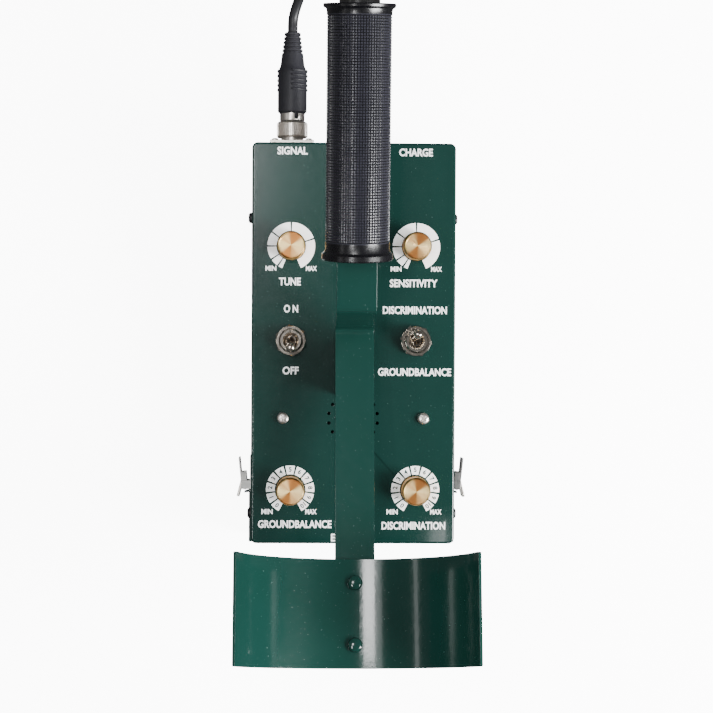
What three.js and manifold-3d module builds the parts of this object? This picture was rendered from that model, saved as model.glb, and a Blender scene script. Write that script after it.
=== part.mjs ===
// A hand-held metal detector: control box, S-shaped handle with grip and arm
// cuff, telescopic rod, round search coil and the signal cable between them.
// It stands on the box's rubber feet and the coil's skid plate. X is to the
// user's right, Y runs forward to the coil and Z is up. Millimetres.
import * as THREE from 'three';
import { mergeVertices } from 'three/addons/utils/BufferGeometryUtils.js';
import Module from 'manifold-3d';

const wasm = await Module();
wasm.setup();

// ---------- driving dimensions ----------

const gap = 0.3; // clearance between pieces that touch

const box = { width: 119, length: 234, height: 62, wall: 1.5, corner: 2, bend: 1.4 };
const foot = { radius: 7, height: 4, inset: 14, peg: 2 };
const column = 36.5; // the controls stand in two columns, this far from the middle
const frontRow = 56.5;
const switchRow = 1.5;
const rearRow = -85.5;

const knob = { radius: 8.25, height: 13, shaft: 3 };
const pot = { radius: 8.2, depth: 10, bushing: 4 };
const toggle = {
  bushing: 6.4, rise: 9, nutRadius: 9.4, nutHeight: 3.4, bodyWidth: 15, bodyLength: 27,
  bodyDepth: 17, leverLength: 18, tilt: 15,
};
const speaker = {
  y: -43.7, radius: 25, depth: 14, hole: 1.1, rings: [[0, 1], [5, 6], [9.8, 11], [14.35, 16]],
};
const panelScrew = { x: 41, y: -43.7, head: 3.4, shank: 1.5, length: 9 };
const sideScrew = {
  head: 3.2, headHeight: 2.6, shank: 1.6, length: 7, drop: 20, frontY: 74, rearY: -101,
};

const drawer = { width: 96, length: 74, wall: 1.5, belowScrews: 6, belowCap: 4.2 };
const pack = { width: 88, length: 62, belowRim: 4.2 };
const board = { width: 104, length: 118, thick: 1.6, drop: 26, y: 43 };

const latch = {
  aboveMiddle: 2, width: 16, ear: 1.2, baseLength: 20, baseThick: 1.2, pivotY: -86, pivotOut: 4.2,
  pin: 1, hub: 2.5, leverLength: 17, leverTop: 6.4, leverThick: 1, leverOpen: 6,
  bailLength: 12, bailWire: 0.9, bailOut: 5, bailAhead: 5, bailOpen: 14, keeperOut: 3.4,
};

const socket = { aboveMiddle: 1, flange: 26, flangeThick: 3, barrel: 6.6, barrelLength: 9, tail: 8 };
const plug = {
  collar: 9.4, neck: 7.4, neckLength: 5, body: 8.7, bodyLength: 27,
  shoulderLength: 7, relief: 5.2, reliefTip: 4.4, reliefLength: 14,
};
const charge = { x: 37, flange: 7.5, flangeThick: 2, barrel: 5.6, depth: 13, bore: 3.2 };
const earphone = { drop: 12, flange: 5.5, flangeThick: 1.6, barrel: 4.3, depth: 12, bore: 1.8 };

const tube = { radius: 11, wall: 1.5, bend: 120, straight: 42, end: 300 };
const grip = {
  length: 137, radius: 17.5, lip: 19.6, lipLength: 4, rearY: 46, axisRise: 66.5, slope: 9,
};
const bar = {
  width: 22, thick: 3, crestY: 18, dipY: 9.5, dipRise: 19, slope: 12, bend: 5, tongue: 46,
};
const bracket = { width: 18, length: 34 };
const cuff = { radius: 66, thick: 1.6, chord: 128, length: 60, corner: 4, lead: 3 };
const cuffBolt = { head: 4.1, headHeight: 2.2, shank: 2.4, inset: 13, tail: 5 };
const brace = {
  width: 20, thick: 3, tab: 22, top: 22, clamp: 3, ahead: 28, screwX: 5.5, tabDrop: 15,
};

const rod = { slope: 10, radius: tube.radius - tube.wall - gap, wall: 1.5, overlap: 95 };
const collar = { radius: tube.radius + 4.5, length: 38, past: 12 };
const coil = {
  radius: 125, height: 20, round: 3, ringInner: 94, hub: 48, window: 62, skid: 1.5, lip: 9,
};
const pivot = { height: 43, ear: 6, earLength: 24, tongue: 7, bolt: 4, head: 8, headHeight: 4 };
const wing = { radius: 7, height: 8, span: 16, blade: 2.6 };
const cable = { radius: 3, sides: 8, off: 1.6, turns: 2, stepsPerTurn: 12, start: 24, end: 238 };
const gland = { x: -27, y: -30, radius: 5.5, tip: 4.2, length: 18, lean: 50 };

// ---------- derived places ----------

const boxBottom = foot.height;
const panelZ = boxBottom + box.height;
const frontY = box.length / 2;
const rearY = -box.length / 2;
const sideX = box.width / 2;
const screwZ = panelZ - sideScrew.drop;
const socketZ = boxBottom + box.height / 2 + socket.aboveMiddle;
const braceTabZ = panelZ - brace.tabDrop;
const radians = THREE.MathUtils.degToRad;
const capTop = screwZ - drawer.belowScrews;
const earphoneZ = panelZ - earphone.drop;
const latchZ = (boxBottom + capTop) / 2 + latch.aboveMiddle;
const gripZ = panelZ + grip.axisRise;
const gripAngle = radians(grip.slope);
const rodAngle = radians(rod.slope);

// ---------- geometry helpers ----------

function solid(geometry) {
  const bare = geometry.clone();
  bare.deleteAttribute('normal');
  bare.deleteAttribute('uv');
  const merged = mergeVertices(bare, 1e-4);
  return new wasm.Manifold(new wasm.Mesh({
    numProp: 3,
    vertProperties: new Float32Array(merged.attributes.position.array),
    triVerts: new Uint32Array(merged.index.array),
  }));
}

function surface(manifold) {
  const mesh = manifold.getMesh();
  const geometry = new THREE.BufferGeometry();
  geometry.setAttribute('position', new THREE.BufferAttribute(new Float32Array(mesh.vertProperties), 3));
  geometry.setIndex(new THREE.BufferAttribute(new Uint32Array(mesh.triVerts), 1));
  geometry.computeVertexNormals();
  return geometry;
}

function join(...geometries) {
  return surface(geometries.map(solid).reduce((all, next) => all.add(next)));
}

function cut(base, ...tools) {
  return surface(tools.map(solid).reduce((left, tool) => left.subtract(tool), solid(base)));
}

function block(x0, x1, y0, y1, z0, z1) {
  return new THREE.BoxGeometry(x1 - x0, y1 - y0, z1 - z0)
    .translate((x0 + x1) / 2, (y0 + y1) / 2, (z0 + z1) / 2);
}

// A cylinder along X, Y or Z from one end to the other, at the other two places.
function rodAlong(axis, radius, start, end, a = 0, b = 0, sides = 20) {
  const geometry = new THREE.CylinderGeometry(radius, radius, end - start, sides);
  const middle = (start + end) / 2;
  if (axis === 'x') return geometry.rotateZ(Math.PI / 2).translate(middle, a, b);
  if (axis === 'z') return geometry.rotateX(Math.PI / 2).translate(a, b, middle);
  return geometry.translate(a, middle, b);
}

// A turned piece about Y from [radius, height] pairs.
function turned(profile, sides = 22) {
  return new THREE.LatheGeometry(profile.map(([r, h]) => new THREE.Vector2(r, h)), sides);
}

function upright(geometry) {
  return geometry.rotateX(Math.PI / 2);
}

// A turned ring, whose profile closes on itself.
function ring(inner, outer, start, end, sides = 24) {
  return turned([[inner, start], [outer, start], [outer, end], [inner, end], [inner, start]], sides);
}

function roundedRect(width, length, radius) {
  const x = width / 2;
  const y = length / 2;
  const shape = new THREE.Shape();
  shape.moveTo(x - radius, -y);
  shape.absarc(x - radius, -y + radius, radius, -Math.PI / 2, 0);
  shape.absarc(x - radius, y - radius, radius, 0, Math.PI / 2);
  shape.absarc(-x + radius, y - radius, radius, Math.PI / 2, Math.PI);
  shape.absarc(-x + radius, -y + radius, radius, Math.PI, 1.5 * Math.PI);
  return shape;
}

function slab(width, length, radius, z0, z1) {
  return new THREE.ExtrudeGeometry(roundedRect(width, length, radius), {
    depth: z1 - z0, bevelEnabled: false, curveSegments: 4,
  }).translate(0, 0, z0);
}

// A path that visits each listed point once, one point to a step.
class PointPath extends THREE.Curve {
  constructor(points) {
    super();
    this.points = points;
  }

  getPoint(t, target = new THREE.Vector3()) {
    const place = Math.min(Math.max(t, 0), 1) * (this.points.length - 1);
    const index = Math.min(Math.floor(place), this.points.length - 2);
    return target.lerpVectors(this.points[index], this.points[index + 1], place - index);
  }

  getPointAt(u, target) {
    return this.getPoint(u, target);
  }

  getTangentAt(u, target) {
    return this.getTangent(u, target);
  }
}

function circle(radius, sides) {
  const points = [];
  for (let i = 0; i < sides; i += 1) {
    const angle = (2 * Math.PI * i) / sides;
    points.push(new THREE.Vector2(radius * Math.cos(angle), radius * Math.sin(angle)));
  }
  return points;
}

function sweep(points, radius, sides, bore = 0) {
  const shape = new THREE.Shape(circle(radius, sides));
  if (bore > 0) shape.holes.push(new THREE.Path(circle(bore, sides)));
  return new THREE.ExtrudeGeometry(shape, {
    steps: points.length - 1, extrudePath: new PointPath(points), bevelEnabled: false,
  });
}

// Extrudes a side outline of [y, z] pairs across the middle plane.
function sideProfile(shape, width) {
  const geometry = new THREE.ExtrudeGeometry(shape, {
    depth: width, bevelEnabled: false, curveSegments: 5,
  });
  geometry.rotateX(Math.PI / 2);
  geometry.rotateZ(Math.PI / 2);
  return geometry.translate(-width / 2, 0, 0);
}

function outline(points) {
  return new THREE.Shape(points.map(([y, z]) => new THREE.Vector2(y, z)));
}

const finishes = {
  greenPaint: { color: 0x1f4f43, roughness: 0.45, metalness: 0.1 },
  blackPlastic: { color: 0x17181a, roughness: 0.55, metalness: 0 },
  blackRubber: { color: 0x121314, roughness: 0.7, metalness: 0 },
  blackSteel: { color: 0x1b1b1d, roughness: 0.4, metalness: 0.8 },
  brass: { color: 0xc39a56, roughness: 0.3, metalness: 1 },
  nickel: { color: 0xc4c2bc, roughness: 0.25, metalness: 1 },
  zinc: { color: 0xb4b3ae, roughness: 0.35, metalness: 1 },
  circuit: { color: 0x1d5a33, roughness: 0.5, metalness: 0 },
  shrinkWrap: { color: 0x2a4f9c, roughness: 0.4, metalness: 0 },
  blackTube: { color: 0x1a1b1c, roughness: 0.4, metalness: 0.4 },
};

function piece(name, geometry, finish) {
  const mesh = new THREE.Mesh(geometry, new THREE.MeshStandardMaterial(finishes[finish]));
  mesh.name = name;
  return mesh;
}

const model = new THREE.Group();

// ---------- control box: folded cover, base tray and feet ----------

const sideNames = [['left', -1], ['right', 1]];
const rowNames = [['front', 1], ['rear', -1]];

const drawerFloor = boxBottom + box.wall + gap;
const drawerTop = capTop - drawer.belowCap;
const controls = [
  ['tune', -column, frontRow], ['sensitivity', column, frontRow],
  ['ground_balance', -column, rearRow], ['discrimination', column, rearRow],
];
const switches = [['power', -column, switchRow, -1], ['mode', column, switchRow, 1]];
const bracketHoles = [-6, -24];

function coverBody() {
  const shell = new THREE.ExtrudeGeometry(
    roundedRect(box.width - 2 * box.bend, box.length - 2 * box.bend, box.corner),
    {
      depth: box.height, bevelThickness: box.bend, bevelSize: box.bend, bevelSegments: 3,
      curveSegments: 4,
    },
  ).translate(0, 0, boxBottom - box.bend);
  const below = block(-sideX - 1, sideX + 1, rearY - 1, frontY + 1, boxBottom - 9, boxBottom);
  const inside = slab(
    box.width - 2 * box.wall, box.length - 2 * box.wall, box.corner - box.wall,
    boxBottom - 1, panelZ - box.wall,
  );
  return cut(shell, below, inside);
}

function panelHoles() {
  const holes = [];
  const through = [panelZ - box.wall - 1, panelZ + 1];
  const hole = (radius, x, y, sides) => holes.push(rodAlong('z', radius, ...through, x, y, sides));
  for (const [, x, y] of controls) hole(pot.bushing + gap, x, y, 16);
  for (const [, x, y] of switches) hole(toggle.bushing + gap, x, y, 20);
  for (const [, side] of sideNames) hole(panelScrew.shank + gap, side * panelScrew.x, panelScrew.y, 10);
  for (const y of bracketHoles) hole(cuffBolt.shank + gap, 0, y, 10);
  for (const [radius, count] of speaker.rings) {
    for (let i = 0; i < count; i += 1) {
      const angle = (2 * Math.PI * (i + 0.5)) / count;
      const x = radius * Math.cos(angle);
      const y = speaker.y + radius * Math.sin(angle);
      hole(speaker.hole, x, y, 6);
    }
  }
  return holes;
}

function wallHoles() {
  const holes = [];
  for (const [, side] of sideNames) {
    for (const y of [sideScrew.frontY, sideScrew.rearY]) {
      const ends = [side * (sideX - 6), side * (sideX + 2)].sort((a, b) => a - b);
      holes.push(rodAlong('x', sideScrew.shank + gap, ...ends, y, screwZ, 10));
    }
  }
  const frontWall = [frontY - 8, frontY + 2];
  holes.push(rodAlong('y', socket.tail + gap, ...frontWall, -column, socketZ, 20));
  holes.push(rodAlong('y', charge.barrel + gap, ...frontWall, charge.x, socketZ, 18));
  holes.push(rodAlong('y', earphone.barrel + gap, rearY - 2, rearY + 8, 0, earphoneZ, 16));
  for (const [, side] of sideNames) {
    const x = side * brace.screwX;
    holes.push(rodAlong('y', panelScrew.shank + gap, ...frontWall, x, braceTabZ, 10));
  }
  return holes;
}

const mouthX = drawer.width / 2 + gap;
const drawerMouth = block(-mouthX, mouthX, rearY - 2, rearY + 6, boxBottom - 1, drawerTop + gap);

const baseWidth = box.width - 2 * (box.wall + gap);
const baseLength = box.length - 2 * (box.wall + gap);
const baseRim = screwZ + 6;
const baseCorner = box.corner - box.wall - gap;

function baseBody() {
  const outer = slab(baseWidth, baseLength, baseCorner, boxBottom, baseRim);
  const inner = block(
    -baseWidth / 2 + box.wall, baseWidth / 2 - box.wall,
    rearY, frontY - 2 * box.wall - gap,
    boxBottom + box.wall, baseRim + 1,
  );
  return cut(outer, inner);
}

function footPegHoles() {
  const holes = [];
  for (const [, side] of sideNames) {
    for (const [, end] of rowNames) {
      holes.push(rodAlong(
        'z', foot.peg + gap, boxBottom - 1, boxBottom + box.wall + 1,
        side * (sideX - foot.inset), end * (frontY - foot.inset), 12,
      ));
    }
  }
  return holes;
}

const cover = cut(coverBody(), ...panelHoles(), ...wallHoles(), drawerMouth);
model.add(piece('panel_cover', cover, 'greenPaint'));
model.add(piece('base_tray', cut(baseBody(), ...wallHoles(), ...footPegHoles()), 'greenPaint'));

for (const [row, end] of rowNames) {
  for (const [side, sign] of sideNames) {
    const pegTop = foot.height + box.wall - gap;
    const rubber = piece(`foot_${row}_${side}`, upright(turned([
      [0, 0], [foot.radius - 1, 0], [foot.radius, 1], [foot.radius, foot.height - gap],
      [foot.peg, foot.height - gap], [foot.peg, pegTop], [0, pegTop],
    ], 16)), 'blackRubber');
    rubber.position.set(sign * (sideX - foot.inset), end * (frontY - foot.inset), 0);
    model.add(rubber);
  }
}

// ---------- battery drawer, with its end cap and keepers ----------

const capY = rearY - gap - drawer.wall;
const flangeX = sideX + gap;
const latchRear = latch.pivotY - 2;

function drawerBody() {
  const half = drawer.width / 2;
  const tray = cut(
    block(-half, half, capY, capY + drawer.length, drawerFloor, drawerTop),
    block(
      -half + drawer.wall, half - drawer.wall, capY + 2 * drawer.wall + gap,
      capY + drawer.length - drawer.wall, drawerFloor + drawer.wall, drawerTop + 1,
    ),
  );
  const capX = flangeX + drawer.wall;
  const pieces = [tray, block(-capX, capX, capY, capY + drawer.wall, boxBottom, capTop)];
  for (const [, side] of sideNames) {
    const [x0, x1] = [side * flangeX, side * capX].sort((a, b) => a - b);
    pieces.push(block(x0, x1, capY, latchRear - gap, boxBottom, capTop));
    pieces.push(keeper(side));
  }
  return join(...pieces);
}

// A tab that leans back, narrow enough to stand inside the latch's wire bail.
function keeper(side) {
  const root = side * (flangeX + drawer.wall - 0.2);
  const tip = root + side * latch.keeperOut;
  const y = latch.pivotY + latch.bailAhead - latch.bailLength + 2 * latch.bailWire + 3 * gap;
  const shape = new THREE.Shape();
  shape.moveTo(root, y);
  shape.lineTo(tip, y - 0.4);
  shape.lineTo(tip, y + 0.6);
  shape.lineTo(root, y + 1.6);
  const depth = latch.width - 2 * (latch.ear + latch.leverThick + 2 * latch.bailWire + 3 * gap);
  return new THREE.ExtrudeGeometry(shape, { depth, bevelEnabled: false })
    .translate(0, 0, latchZ - depth / 2);
}

model.add(piece('battery_drawer', drawerBody(), 'greenPaint'));

const packLift = drawerFloor + drawer.wall + gap;
const packY = capY + drawer.length - drawer.wall - gap - pack.length;
model.add(piece('battery_pack', block(
  -pack.width / 2, pack.width / 2, packY, packY + pack.length, packLift, drawerTop - pack.belowRim,
), 'shrinkWrap'));

// ---------- draw latches on both sides ----------

for (const [name, side] of sideNames) {
  const wallX = sideX + gap;
  const z0 = latchZ - latch.width / 2;
  const z1 = latchZ + latch.width / 2;
  const pinX = side * (wallX + latch.pivotOut);
  const pinY = latch.pivotY;
  const span = (a, b) => [side * a, side * b].sort((p, q) => p - q);
  const earX = span(wallX, wallX + latch.pivotOut + 2);
  const base = join(
    block(
      ...span(wallX, wallX + latch.baseThick), latchRear, latchRear + latch.baseLength, z0, z1,
    ),
    block(...earX, latchRear, pinY + 3, z0, z0 + latch.ear),
    block(...earX, latchRear, pinY + 3, z1 - latch.ear, z1),
    rodAlong('z', latch.pin, z0 + 0.2, z1 - 0.2, pinX, pinY, 12),
  );
  model.add(piece(`latch_base_${name}`, base, 'zinc'));

  // The lever turns on the base's pin and lies forward; its cheeks carry the bail.
  // In its own group X is outwards from the pin and Y forward.
  const lowZ = z0 + latch.ear + gap;
  const highZ = z1 - latch.ear - gap;
  const topX = latch.leverTop - latch.pivotOut;
  const plateY = latch.bailAhead + latch.bailWire + gap;
  const cheek = (low, high) => join(
    rodAlong('z', latch.hub, low, high, 0, 0, 16),
    block(...span(-1.6, topX), 0, plateY + 2, low, high),
  );
  const lever = cut(
    join(
      cheek(lowZ, lowZ + latch.leverThick),
      cheek(highZ - latch.leverThick, highZ),
      block(...span(topX - latch.leverThick, topX), plateY, latch.leverLength, lowZ, highZ),
    ),
    rodAlong('z', latch.pin + gap, z0, z1, 0, 0, 12),
  );
  const pivotGroup = new THREE.Group();
  pivotGroup.position.set(pinX, pinY, 0);
  pivotGroup.rotation.z = -side * radians(latch.leverOpen);
  pivotGroup.add(piece(`latch_lever_${name}`, lever, 'zinc'));
  model.add(pivotGroup);

  // The bail is a wire loop that hangs between the cheeks and swings behind the keeper.
  const wire = latch.bailWire;
  const bailLow = lowZ + latch.leverThick + gap;
  const bailHigh = highZ - latch.leverThick - gap;
  const bail = join(
    block(-wire, wire, -latch.bailLength, wire, bailHigh - 2 * wire, bailHigh),
    block(-wire, wire, -latch.bailLength, wire, bailLow, bailLow + 2 * wire),
    block(-wire, wire, -latch.bailLength, -latch.bailLength + 2 * wire, bailLow, bailHigh),
  );
  const bailPiece = piece(`latch_bail_${name}`, bail, 'nickel');
  bailPiece.position.set(side * (latch.bailOut - latch.pivotOut), latch.bailAhead, 0);
  bailPiece.rotation.z = side * radians(latch.bailOpen + latch.leverOpen);
  pivotGroup.add(bailPiece);
}

// ---------- screws in the box ----------

for (const [row, end] of rowNames) {
  for (const [side, sign] of sideNames) {
    const profile = [
      [0, -sideScrew.length], [sideScrew.shank, -sideScrew.length], [sideScrew.shank, gap],
      [sideScrew.head, gap], [sideScrew.head, 1.2], [sideScrew.head * 0.7, sideScrew.headHeight],
      [0, sideScrew.headHeight],
    ];
    const shape = turned(profile, 16).rotateZ(-sign * Math.PI / 2);
    const screw = piece(`side_screw_${row}_${side}`, shape, 'blackSteel');
    screw.position.set(sign * sideX, end > 0 ? sideScrew.frontY : sideScrew.rearY, screwZ);
    model.add(screw);
  }
}

for (const [side, sign] of sideNames) {
  const screw = piece(`panel_screw_${side}`, upright(turned([
    [0, -panelScrew.length], [panelScrew.shank, -panelScrew.length], [panelScrew.shank, gap],
    [panelScrew.head, gap], [panelScrew.head, 1.3], [panelScrew.head * 0.7, 2.2], [0, 2.4],
  ], 18)), 'nickel');
  screw.position.set(sign * panelScrew.x, panelScrew.y, panelZ);
  model.add(screw);
}

// ---------- knobs on their potentiometers ----------

for (const [name, x, y] of controls) {
  const under = -box.wall - gap;
  const potPiece = piece(`${name}_pot`, upright(turned([
    [knob.shaft + gap, under - pot.depth], [pot.radius, under - pot.depth], [pot.radius, under],
    [pot.bushing, under], [pot.bushing, 4], [knob.shaft + gap, 4],
    [knob.shaft + gap, under - pot.depth],
  ], 20)), 'zinc');
  potPiece.position.set(x, y, panelZ);
  model.add(potPiece);

  const knobPiece = piece(`${name}_knob`, upright(turned([
    [0, under - pot.depth + 1], [knob.shaft, under - pot.depth + 1], [knob.shaft, 4 + gap],
    [pot.bushing + 0.6, 4 + gap], [pot.bushing + 0.6, 1], [knob.radius, 1],
    [knob.radius, knob.height], [knob.radius - 0.8, knob.height + 0.8], [0, knob.height + 0.8],
  ])), 'brass');
  knobPiece.position.set(x, y, panelZ);
  model.add(knobPiece);
}

// ---------- toggle switches ----------

const leverPivot = 6; // height of a lever's ball over the panel

for (const [name, x, y, lean] of switches) {
  const under = -box.wall - gap;
  const halfWidth = toggle.bodyWidth / 2;
  const halfLength = toggle.bodyLength / 2;
  const body = cut(
    join(
      block(-halfWidth, halfWidth, -halfLength, halfLength, under - toggle.bodyDepth, under),
      rodAlong('z', toggle.bushing, under - 1, toggle.rise, 0, 0, 24),
    ),
    upright(turned([
      [0, leverPivot - 5], [3, leverPivot - 5], [3, leverPivot], [4.4, toggle.rise + 0.5],
      [0, toggle.rise + 0.5],
    ], 16)),
  );
  const bodyPiece = piece(`${name}_switch_body`, body, 'nickel');
  bodyPiece.position.set(x, y, panelZ);
  model.add(bodyPiece);

  const nut = cut(
    new THREE.CylinderGeometry(toggle.nutRadius, toggle.nutRadius, toggle.nutHeight, 6)
      .rotateX(Math.PI / 2).translate(0, 0, gap + toggle.nutHeight / 2),
    rodAlong('z', toggle.bushing + gap, -1, toggle.nutHeight + 2, 0, 0, 24),
  );
  const nutPiece = piece(`${name}_switch_nut`, nut, 'nickel');
  nutPiece.position.set(x, y, panelZ);
  model.add(nutPiece);

  const lever = piece(`${name}_switch_lever`, upright(turned([
    [0, -4], [1.1, -4], [1.4, -1.5], [2.1, 0], [1.5, 1.8], [1.5, 3], [2.5, toggle.leverLength - 3],
    [2.3, toggle.leverLength - 0.8], [1.3, toggle.leverLength], [0, toggle.leverLength],
  ], 16)), 'nickel');
  lever.position.set(x, y, panelZ + leverPivot);
  lever.rotation.x = -lean * radians(toggle.tilt);
  model.add(lever);
}

// ---------- circuit board, speaker and sockets ----------

function circuitBoard() {
  const low = panelZ - board.drop;
  const top = low + board.thick;
  const half = board.width / 2;
  const boardRear = board.y - board.length / 2;
  const plate = block(-half, half, boardRear, board.y + board.length / 2, low, top);
  const parts = [
    block(-12, 10, 20, 44, top - 0.3, top + 3.5),
    block(14, 30, 78, 90, top - 0.3, top + 5),
    block(-44, -34, 12, 34, top - 0.3, top + 4),
    block(20, 46, 24, 30, top - 0.3, top + 6),
    rodAlong('z', 5, top - 0.3, top + 11, -14, 70, 14),
    rodAlong('z', 5, top - 0.3, top + 11, -14, 84, 14),
  ];
  return join(plate, ...parts);
}
model.add(piece('circuit_board', circuitBoard(), 'circuit'));

const speakerTop = panelZ - box.wall - gap;
const speakerPiece = piece('speaker', upright(turned([
  [0, speakerTop - speaker.depth], [11, speakerTop - speaker.depth], [11, speakerTop - 7],
  [speaker.radius, speakerTop - 3], [speaker.radius, speakerTop], [speaker.radius - 3, speakerTop],
  [speaker.radius - 4, speakerTop - 1.5], [6, speakerTop - 3], [0, speakerTop - 2],
], 20)), 'blackPlastic');
speakerPiece.position.set(0, speaker.y, 0);
model.add(speakerPiece);

const signalSocket = cut(
  join(
    new THREE.BoxGeometry(socket.flange, socket.flangeThick, socket.flange)
      .translate(0, gap + socket.flangeThick / 2, 0),
    rodAlong('y', socket.barrel, 0, gap + socket.flangeThick + socket.barrelLength, 0, 0, 24),
    rodAlong('y', socket.tail, -14, gap + 0.5, 0, 0, 24),
  ),
  rodAlong('y', socket.barrel - 1.6, gap + socket.flangeThick, 40, 0, 0, 20),
);
const signalSocketPiece = piece('signal_socket', signalSocket, 'nickel');
signalSocketPiece.position.set(-column, frontY, socketZ);
model.add(signalSocketPiece);

function jack(name, spec, x, y, z, turn) {
  const body = turned([
    [0, -spec.depth], [spec.barrel, -spec.depth], [spec.barrel, gap], [spec.flange, gap],
    [spec.flange, gap + spec.flangeThick], [spec.bore, gap + spec.flangeThick],
    [spec.bore, -spec.depth + 2], [0, -spec.depth + 2],
  ], 20);
  const jackPiece = piece(name, body, 'nickel');
  jackPiece.position.set(x, y, z);
  jackPiece.rotation.z = turn;
  model.add(jackPiece);
}
jack('charge_socket', charge, charge.x, frontY, socketZ, 0);
jack('earphone_socket', earphone, 0, rearY, earphoneZ, Math.PI);

// ---------- signal plug: coupling ring and moulded body ----------

const plugStart = gap + socket.flangeThick + gap;
const collarEnd = plugStart + socket.barrelLength + 0.6;
const plugCollar = piece('plug_collar', turned([
  [socket.barrel + gap, plugStart + 2.2], [plug.collar - 0.6, plugStart + 2.2],
  [plug.collar, plugStart + 2.8], [plug.collar, collarEnd + 1.4], [plug.collar - 0.6, collarEnd + 2],
  [plug.neck - 1.2, collarEnd + 2], [plug.neck - 1.2, collarEnd], [socket.barrel + gap, collarEnd],
  [socket.barrel + gap, plugStart + 2.2],
]), 'nickel');
plugCollar.position.set(-column, frontY, socketZ);
model.add(plugCollar);

const neckStart = collarEnd + 2 + gap;
const bodyStart = neckStart + plug.neckLength;
const bodyEnd = bodyStart + plug.bodyLength;
const reliefStart = bodyEnd + plug.shoulderLength;
const plugEnd = reliefStart + plug.reliefLength;
const plugPin = socket.barrel - 1.6 - gap;
const plugBody = piece('signal_plug', turned([
  [0, plugStart + 1], [plugPin, plugStart + 1], [plugPin, collarEnd - gap], [plugPin, neckStart],
  [plug.neck, neckStart], [plug.neck, bodyStart], [plug.body, bodyStart], [plug.body, bodyEnd],
  [plug.relief, reliefStart], [plug.reliefTip, plugEnd], [0, plugEnd],
]), 'blackPlastic');
plugBody.position.set(-column, frontY, socketZ);
model.add(plugBody);

// ---------- handle: bent tube, grip, flat bar and its bracket ----------

const rise = new THREE.Vector3(0, Math.cos(gripAngle), Math.sin(gripAngle));
const gripRear = new THREE.Vector3(0, grip.rearY, gripZ);
const along = (distance) => gripRear.clone().addScaledVector(rise, distance);
const tubeRear = 6;
const bendStart = grip.length + tube.straight;

function bendPoints() {
  const points = [];
  const steps = 8;
  const inwards = new THREE.Vector3(0, Math.sin(gripAngle), -Math.cos(gripAngle));
  const centre = along(bendStart).addScaledVector(inwards, tube.bend);
  for (let i = 0; i <= steps; i += 1) {
    const angle = gripAngle - ((gripAngle + rodAngle) * i) / steps;
    points.push(new THREE.Vector3(
      0, centre.y - tube.bend * Math.sin(angle), centre.z + tube.bend * Math.cos(angle),
    ));
  }
  return points;
}
const bend = bendPoints();
const bendEnd = bend[bend.length - 1];
const fall = new THREE.Vector3(0, Math.cos(rodAngle), -Math.sin(rodAngle));
const down = (distance) => bendEnd.clone().addScaledVector(fall, distance);

model.add(piece('main_tube', sweep(
  [along(tubeRear), ...bend, down(tube.end)], tube.radius, 24, tube.radius - tube.wall,
), 'blackTube'));

const gripBore = tube.radius + gap;
const gripPiece = piece('grip', turned([
  [gripBore, 0], [grip.lip, 0], [grip.lip, grip.lipLength], [grip.radius, grip.lipLength + 3],
  [grip.radius, grip.length - grip.lipLength - 3], [grip.lip, grip.length - grip.lipLength],
  [grip.lip, grip.length], [gripBore, grip.length], [gripBore, 0],
], 32), 'blackRubber');
gripPiece.position.copy(gripRear);
gripPiece.rotation.x = gripAngle;
model.add(gripPiece);

// The bar's upper edge, from the tongue in the tube over the crest to the cuff.
const barAngle = radians(bar.slope);
const crestZ = gripZ - (grip.rearY - bar.crestY) * Math.tan(gripAngle);
const dipZ = panelZ + bar.dipRise + bar.thick;
const barEndY = rearY - cuff.lead - cuff.length + 4;
const barRise = (y) => dipZ + (bar.dipY - y) * Math.tan(barAngle);

// Rounds the corners of an open line, then thickens it into a flat bar's side.
function strip(corners, radius, thick) {
  const path = [];
  corners.forEach((corner, index) => {
    if (index === 0 || index === corners.length - 1) {
      path.push(corner);
      return;
    }
    const before = corners[index - 1].clone().sub(corner).normalize();
    const after = corners[index + 1].clone().sub(corner).normalize();
    const half = before.angleTo(after) / 2;
    const reach = radius / Math.tan(half);
    const curve = new THREE.QuadraticBezierCurve(
      corner.clone().addScaledVector(before, reach), corner, corner.clone().addScaledVector(after, reach),
    );
    path.push(...curve.getPoints(6));
  });
  const offset = path.map((point, index) => {
    const next = path[Math.min(index + 1, path.length - 1)];
    const last = path[Math.max(index - 1, 0)];
    const tangent = next.clone().sub(last).normalize();
    return [point.clone().add(new THREE.Vector2(-tangent.y, tangent.x).multiplyScalar(thick / 2)),
      point.clone().sub(new THREE.Vector2(-tangent.y, tangent.x).multiplyScalar(thick / 2))];
  });
  return new THREE.Shape([...offset.map(([a]) => a), ...offset.map(([, b]) => b).reverse()]);
}

const tongueEnd = along(bar.tongue);
const barLine = [
  new THREE.Vector2(tongueEnd.y, tongueEnd.z),
  new THREE.Vector2(bar.crestY, crestZ),
  new THREE.Vector2(bar.dipY, dipZ - bar.thick / 2),
  new THREE.Vector2(barEndY, barRise(barEndY) - bar.thick / 2),
];
const barSide = sideProfile(strip(barLine, bar.bend, bar.thick), bar.width);
const tongueTrim = Math.sqrt((tube.radius - tube.wall - gap) ** 2 - (bar.thick / 2 + gap) ** 2);
const trimmers = sideNames.map(([, side]) => {
  const [x0, x1] = [side * tongueTrim, side * (bar.width / 2 + 1)].sort((a, b) => a - b);
  return block(x0, x1, tubeRear - 3, bar.tongue + 2, -20, 20).rotateX(gripAngle)
    .translate(0, gripRear.y, gripRear.z);
});

// ---------- arm cuff on the bar's rear end ----------

const cuffFrontY = rearY - cuff.lead;
const cuffGroup = new THREE.Group();
const cuffSeat = barRise(cuffFrontY) + gap;
cuffGroup.position.set(0, cuffFrontY, cuffSeat);
cuffGroup.rotation.x = -barAngle;

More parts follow.
